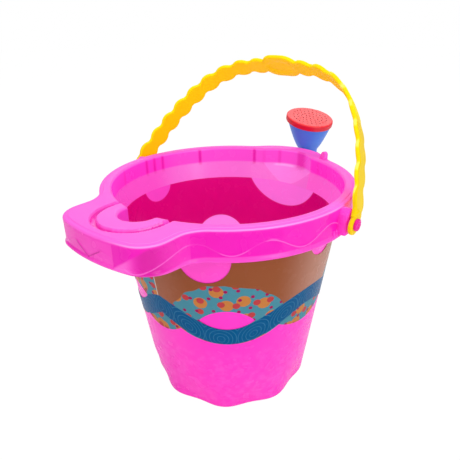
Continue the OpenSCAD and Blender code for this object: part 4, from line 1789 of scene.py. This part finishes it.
@dataclass
class PivotPins:
    """Pins staked flat over the bail's eyes, and the bosses behind them."""

    boss_x: float = 133.0
    head_x: float = 138.5
    pin_r: float = 4.7
    head_r: float = 5.4
    head_t: float = 2.5
    head_chamfer: tuple[float, float] = (0.5, 0.4)
    crown_x: float = 1.8
    crown_r: float = 1.6
    dimple_r: float = 2.4
    dimple: tuple[float, float] = (0.5, 0.7)
    boss_w: float = 13.0
    boss_low: float = 198.6
    boss_top: float = 222.6
    boss_cut: float = 4.0
    boss_edge: float = 2.2
    boss_sunk: float = 2.0
    rib_r: float = 1.4
    rib_h: float = 8.5
    rib_edge: float = 0.8
    rib_sunk: float = 0.4
    rib_taper: float = 0.8
    rib_places: tuple[float, ...] = (-2.6, -1.6, 1.6, 2.6)
    melt_out: tuple[float, float] = (-0.35, 0.1)
    melt_side: tuple[float, float] = (-0.15, 0.15)
    melt_x: float = 1.5
    melt_seed: int = 7

    def is_upper_corner(self, edge: bmesh.types.BMEdge) -> bool:
        """Tells whether an edge runs along X at the top of the boss."""
        first, last = (vert.co for vert in edge.verts)
        return abs(first.x - last.x) > MM and min(first.z, last.z) > (self.boss_top - 1) * MM

    def build_pin(self, side: int, material: bpy.types.Material) -> None:
        """Spins a pin and roughens its melted head.

        Args:
            side: 1 on the +X side, -1 on the other.
            material: The piece's finish.
        """
        mesh = bmesh.new()
        profile = [(self.boss_x, 0.0), (self.boss_x, self.pin_r), (self.head_x, self.pin_r)]
        along, inset = self.head_chamfer
        profile += [(self.head_x, self.head_r - inset), (self.head_x + along, self.head_r)]
        crown = self.head_x + self.crown_x
        for out, down in quarter(6):
            x = crown + (self.head_t - self.crown_x) * down
            profile.append((x, self.head_r - self.crown_r * out))
        end, (edge, middle) = self.head_x + self.head_t, self.dimple
        profile += [(end - edge, self.dimple_r), (end - middle, 0.0)]
        verts = [mesh.verts.new(((side * x) * MM, 0.0, (SIZES.pin_z + r) * MM)) for x, r in profile]
        edges = [mesh.edges.new(pair) for pair in zip(verts, verts[1:])]
        bmesh.ops.spin(
            mesh,
            geom=verts + edges,
            cent=Vector((0, 0, SIZES.pin_z * MM)),
            axis=Vector((1, 0, 0)),
            angle=2 * math.pi,
            steps=40,
            use_merge=True,
        )
        bmesh.ops.remove_doubles(mesh, verts=mesh.verts, dist=WELD)
        draw = random.Random(self.melt_seed + side)
        for vert in mesh.verts:
            if abs(vert.co.x) > (self.head_x + self.melt_x) * MM:
                vert.co.x += side * draw.uniform(*self.melt_out) * MM
                vert.co.y += draw.uniform(*self.melt_side) * MM
        name, nodes = f"pivot_stake_{hand(side)}", [f"pivot_pin_{hand(side)}"]
        piece(name, mesh, material, Body.BUCKET, nodes)

    def build_boss(self, side: int, material: bpy.types.Material) -> None:
        """Makes the block behind a pin with two upright ribs along each edge.

        Args:
            side: 1 on the +X side, -1 on the other.
            material: The piece's finish.
        """
        mesh = bmesh.new()
        half = self.boss_w / 2
        block(
            mesh,
            (SIZES.rim_r - self.boss_sunk, -half, self.boss_low),
            (self.boss_x, half, self.boss_top),
        )
        bevel(mesh, [edge for edge in mesh.edges if self.is_upper_corner(edge)], self.boss_cut, 1)
        bevel(mesh, list(mesh.edges), self.boss_edge, 5)
        for share in self.rib_places:
            out, z = SIZES.rim_r - self.rib_sunk, SIZES.skirt_z + self.rib_h / 2
            place = Matrix.Translation(Vector((out, share * self.boss_w / 3, z)) * MM)
            made = set(bar(mesh, (self.rib_r, self.rib_r * self.rib_taper), self.rib_h, place, 20))
            rib = [edge for edge in mesh.edges if made.issuperset(edge.verts)]
            caps = [edge for edge in rib if abs(edge.verts[0].co.z - edge.verts[1].co.z) < 1e-5]
            bevel(mesh, caps, self.rib_edge, 2)
        if side < 0:
            bmesh.ops.scale(mesh, vec=(-1, 1, 1), verts=mesh.verts)
        piece(f"pivot_boss_{hand(side)}", mesh, material, Body.BUCKET)


@dataclass
class RimLug:
    """Small tab with a round top that stands on the rim beside the rose."""

    turn: float = 68.0
    width: float = 7.0
    height: float = 8.0
    thick: float = 4.4
    foot: float = 2.6
    edge: float = 0.7
    set_in: float = 0.1

    def build(self, material: bpy.types.Material) -> None:
        """Makes a rounded slab, moves it out to the rim and turns it.

        Args:
            material: The piece's finish.
        """
        mesh = bmesh.new()
        radius, across = self.width / 2, Matrix.Rotation(math.pi / 2, 4, "Y")
        for vert in bar(mesh, (radius, radius), self.thick, across, 28):
            if vert.co.z < 0:
                vert.co.z -= (self.height - radius) * MM
                vert.co.x -= self.foot * MM if vert.co.x < 0 else 0.0
        rounds = [e for e in mesh.edges if abs(e.verts[0].co.x - e.verts[1].co.x) < MM]
        bevel(mesh, rounds, self.edge, 2)
        out = SIZES.rim_r - self.thick / 2 - self.set_in
        lift = SIZES.height + self.height - radius
        bmesh.ops.translate(mesh, vec=Vector((out, 0, lift)) * MM, verts=mesh.verts)
        turn = Matrix.Rotation(math.radians(self.turn), 3, "Z")
        bmesh.ops.rotate(mesh, cent=(0, 0, 0), matrix=turn, verts=mesh.verts)
        piece("rim_lug", mesh, material, Body.BUCKET)


@dataclass
class RimWebs:
    """Upright webs that brace the hollow rim from below."""

    turns: tuple[float, ...] = (-50.0, -25.0, 33.0, 67.2, 82.0)
    edge: float = 0.3

    def build(self, rim: RimMoulding, material: bpy.types.Material) -> None:
        """Sets a web in each direction, out to the inside of the skirt.

        Args:
            rim: The rim that they brace.
            material: The piece's finish.
        """
        mesh = bmesh.new()
        right = [math.radians(turn) for turn in self.turns]
        turns = right + [math.pi - turn for turn in right]
        reach = trace(rim.outline, -rim.skirt_t / 2, np.array(turns))
        start = trace(lambda x, y: rim.mouth(x, y, SIZES.height), SIZES.wall_t / 2, np.array(turns))
        half, top = SIZES.web_t / 2, SIZES.height - SIZES.wall_t / 2
        for turn, near, far in zip(turns, start, reach):
            block(mesh, (near, -half, SIZES.web_low_z), (far, half, top), turn)
        bevel(mesh, list(mesh.edges), self.edge, 2)
        piece("rim_webs", mesh, material, Body.BUCKET)


@dataclass
class LipWebs:
    """Two upright webs that run forward under the grip lip, lower where the groove crosses."""

    off_x: float = 28.0
    spans: tuple[tuple[float, float, float], ...] = (
        (-161.5, -143.5, 222.8),
        (-143.5, -127.0, 218.8),
        (-127.0, -109.7, 222.8),
    )

    def build(self, material: bpy.types.Material) -> None:
        """Sets the spans of both webs end to end.

        Args:
            material: The piece's finish.
        """
        mesh = bmesh.new()
        half = SIZES.web_t / 2
        for x in (-self.off_x, self.off_x):
            for front, back, top in self.spans:
                block(mesh, (x - half, front, SIZES.web_low_z), (x + half, back, top))
        piece("lip_webs", mesh, material, Body.BUCKET)


@dataclass
class OutletPipe:
    """Short pipe that leads from the rear bay to the rose's socket."""

    radius: float = 7.4
    z: float = 204.0
    end_y: float = 142.2
    sunk: float = 1.2

    def start_y(self, x: float, z: float) -> float:
        """Where the pipe meets the bay's wall, half way through it."""
        reach = SIZES.bay_wall_r(z) + self.sunk
        return SIZES.bay_y + math.sqrt(reach**2 - x**2)

    def build(self, material: bpy.types.Material) -> None:
        """Makes a round bar and fits its near end to the slanted wall.

        Args:
            material: The piece's finish.
        """
        mesh = bmesh.new()
        spot = Vector((0, self.end_y - self.radius, self.z)) * MM
        place = Matrix.Translation(spot) @ Matrix.Rotation(math.pi / 2, 4, "X")
        for vert in bar(mesh, (self.radius, self.radius), 2 * self.radius, place, 48, caps=False):
            if vert.co.y < spot.y:
                vert.co.y = self.start_y(vert.co.x / MM, vert.co.z / MM) * MM
        piece("outlet_pipe", mesh, material, Body.BUCKET)


@dataclass
class Rose:
    """Watering rose: a neck that widens to a slanted funnel under a perforated cap."""

    count: int = 128
    neck_z: float = 181.75
    neck_r: float = 11.3
    wall: float = 1.8
    flare_z: float = 220.0
    funnel_r: float = 25.0
    flange_r: float = 26.2
    flange_h: float = 2.2
    neck_edge: float = 0.6
    bell_full: float = 0.8
    bell_power: float = 0.75

    def ring(self, radius: float, share: float, drop: float = 0.0) -> np.ndarray:
        """Ring of the funnel at a share of its height, slanted more towards the cap.

        Args:
            radius: Radius of the ring.
            share: Share of the funnel's height.
            drop: How far it lies below that.

        Returns:
            Points of the ring.
        """
        angles = np.linspace(0, 2 * math.pi, self.count, endpoint=False)
        dx, dy = radius * np.cos(angles), radius * np.sin(angles)
        lean, way = math.tan(SIZES.rose_tilt), SIZES.rose_turn
        plane = SIZES.rose_plane_z - lean * (dx * math.cos(way) + dy * math.sin(way))
        height = self.flare_z + (plane - self.flare_z) * share - drop
        return np.stack([dx, dy + SIZES.rose_y, height], -1)

    def neck_ring(self, radius: float, z: float) -> np.ndarray:
        """Level ring of the neck.

        Args:
            radius: Radius of the ring.
            z: Height.

        Returns:
            Points of the ring.
        """
        ring = self.ring(radius, 0.0)
        ring[:, 2] = z
        return ring

    def bell_r(self, share: float) -> float:
        """Outer radius of the funnel at a share of its height."""
        widened = min(1.0, share / self.bell_full) ** self.bell_power
        return self.neck_r + (self.funnel_r - self.neck_r) * widened

    def build(self, material: bpy.types.Material) -> None:
        """Grows the funnel up the outside and down the inside.

        Args:
            material: The piece's finish.
        """
        shares = [float(s) for s in np.linspace(0.03, 0.95, 18)]
        loft = Loft(self.neck_ring(self.neck_r - self.neck_edge, self.neck_z))
        for z in (self.neck_z + self.neck_edge, self.flare_z - 1):
            loft.grow(self.neck_ring(self.neck_r, z))
        loft.grow(*(self.ring(self.bell_r(s), s) for s in shares))
        loft.grow(self.ring(self.flange_r, 1.0, self.flange_h), self.ring(self.flange_r, 1.0))
        loft.grow(self.ring(self.funnel_r - self.wall, 1.0))
        loft.grow(*(self.ring(self.bell_r(s) - self.wall, s) for s in reversed(shares)))
        inner_r = self.neck_r - self.wall
        loft.grow(self.neck_ring(inner_r, self.flare_z - 1), self.neck_ring(inner_r, self.neck_z))
        loft.join_ends()
        piece("rose_bell", loft.mesh, material, Body.ROSE, ["rose_funnel"])


# Studio


@dataclass(frozen=True)
class Lamp:
    """A soft rectangular lamp that looks at the bucket."""

    name: str
    place: tuple[float, float, float]
    size: tuple[float, float]
    power: float

    def build(self, target: Vector) -> None:
        """Hangs the lamp and turns it to the target.

        Args:
            target: The point that it looks at.
        """
        light = bpy.data.lights.new(self.name, "AREA")
        light.shape = "RECTANGLE"
        light.size, light.size_y = self.size
        light.energy = self.power
        holder = bpy.data.objects.new(self.name, light)
        holder.location = self.place
        holder.rotation_euler = (target - Vector(self.place)).to_track_quat("-Z", "Y").to_euler()
        bpy.context.scene.collection.objects.link(holder)


@dataclass(frozen=True)
class Studio:
    """White floor, soft light and the camera."""

    lens: float = 35.217
    sensor: float = 36.0
    eye: tuple[float, float, float] = (0.2747, -0.3311, 0.3667)
    forward: tuple[float, float, float] = (-0.5759, 0.6986, -0.4245)
    roll: float = -0.0145
    target: tuple[float, float, float] = (0.0, 0.0, 0.14)
    world_strength: float = 0.5
    floor_drop: float = 0.0002
    floor_paint: Colour = (0.92, 0.92, 0.92, 1.0)
    floor_glow: float = 1.03
    floor_seen: float = 0.95
    lamps: tuple[Lamp, ...] = (
        Lamp("top_light", (0.1, 0.1, 1.6), (1.6, 1.6), 10.0),
        Lamp("back_light", (-1.3, 1.7, 1.5), (2.4, 1.4), 16.0),
        Lamp("right_light", (1.3, -0.3, 0.6), (0.4, 1.2), 7.0),
        Lamp("front_light", (-0.2, -1.5, 0.9), (1.2, 0.8), 6.5),
    )

    def camera(self) -> None:
        """Places the camera at the picture's viewpoint."""
        lens = bpy.data.cameras.new("camera")
        lens.sensor_fit = "HORIZONTAL"
        lens.sensor_width = self.sensor
        lens.lens = self.lens
        lens.clip_start = 0.01
        holder = bpy.data.objects.new("camera", lens)
        forward = Vector(self.forward).normalized()
        level = forward.cross(Vector((0, 0, 1))).normalized()
        upright = level.cross(forward)
        right = level * math.cos(self.roll) + upright * math.sin(self.roll)
        up = upright * math.cos(self.roll) - level * math.sin(self.roll)
        turn = Matrix((right, up, -forward)).transposed().to_4x4()
        holder.matrix_world = Matrix.Translation(self.eye) @ turn
        bpy.context.scene.collection.objects.link(holder)
        bpy.context.scene.camera = holder

    def floor(self) -> None:
        """Lays a large pale floor that looks white to the camera but keeps a soft shadow."""
        mesh = bmesh.new()
        bmesh.ops.create_grid(mesh, x_segments=8, y_segments=8, size=6.0)
        data = bpy.data.meshes.new("studio_floor")
        mesh.to_mesh(data)
        mesh.free()
        thing = bpy.data.objects.new("studio_floor", data)
        thing.location.z = -self.floor_drop
        bpy.context.scene.collection.objects.link(thing)
        sh = Shader("studio_floor")
        paint = sh.node("ShaderNodeBsdfDiffuse", sockets={"Color": self.floor_paint})
        glow = sh.node("ShaderNodeEmission", sockets={"Color": (1, 1, 1, 1), "Strength": self.floor_glow})
        path = sh.node("ShaderNodeLightPath", output="Is Camera Ray")
        seen = sh.node("ShaderNodeMixShader", sockets={0: path * self.floor_seen, 1: paint, 2: glow})
        data.materials.append(sh.close(seen))

    def world(self) -> None:
        """Fills the room with even white light, white where the camera sees it."""
        world = bpy.data.worlds.new("studio_world")
        world.use_nodes = True
        tree = world.node_tree
        tree.nodes.clear()
        path = tree.nodes.new("ShaderNodeLightPath")
        lit = tree.nodes.new("ShaderNodeBackground")
        lit.inputs["Strength"].default_value = self.world_strength
        seen = tree.nodes.new("ShaderNodeBackground")
        seen.inputs["Strength"].default_value = 1.0
        for back in (lit, seen):
            back.inputs["Color"].default_value = (1, 1, 1, 1)
        mix = tree.nodes.new("ShaderNodeMixShader")
        output = tree.nodes.new("ShaderNodeOutputWorld")
        tree.links.new(path.outputs["Is Camera Ray"], mix.inputs[0])
        tree.links.new(lit.outputs[0], mix.inputs[1])
        tree.links.new(seen.outputs[0], mix.inputs[2])
        tree.links.new(mix.outputs[0], output.inputs["Surface"])
        bpy.context.scene.world = world

    def build(self) -> None:
        """Sets up the whole studio."""
        self.camera()
        self.floor()
        self.world()
        for lamp in self.lamps:
            lamp.build(Vector(self.target))
        bpy.context.scene.view_settings.view_transform = "Standard"


def dress(node: bpy.types.Object, material: bpy.types.Material) -> None:
    """Gives a CAD node a finish in place of its plain one.

    Args:
        node: The CAD node.
        material: Its finish.
    """
    node.data.materials.clear()
    node.data.materials.append(material)
    LOG.info("%s keeps its solid, in %s", node.name, material.name)


def main() -> None:
    """Builds the pieces in order."""
    logging.basicConfig(level=logging.INFO, format="%(name)s: %(message)s")
    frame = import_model()
    pink = PinkPlastic()
    small = pink.small("pink_small", pink.light, 0.2)
    melted = pink.small("pink_melted", srgb(206, 16, 104), 0.6)
    bail = Bail()
    paint = BailPlastic("yellow_strip", srgb(240, 210, 0), srgb(246, 218, 0), 0.4, 0.2, 0.1)
    yellow = paint.material(bail)
    blue = PlainPlastic("blue_funnel", srgb(56, 106, 194), srgb(64, 114, 200), 0.34, 0.28).material()
    red = CapPlastic("cap_finish", srgb(244, 44, 54), srgb(250, 60, 66)).material()
    Tub().build(pink.tub())
    rim = RimMoulding()
    rim.build(pink.rim())
    RimWebs().build(rim, small)
    RimLug().build(pink.small("pink_lug", pink.light, 0.5))
    LipWebs().build(small)
    OutletPipe().build(small)
    bail.build_strip(yellow)
    pins = PivotPins()
    for side in (-1, 1):
        bail.build_eye(side, yellow)
        pins.build_pin(side, melted)
        pins.build_boss(side, small)
    Rose().build(blue)
    nodes = frame["nodes"]
    dress(nodes["label"], PrintedFilm().material())
    dress(nodes["rose_cap"], red)
    dress(nodes["spout_socket"], small)
    Studio().build()


if __name__ == "__main__":
    main()
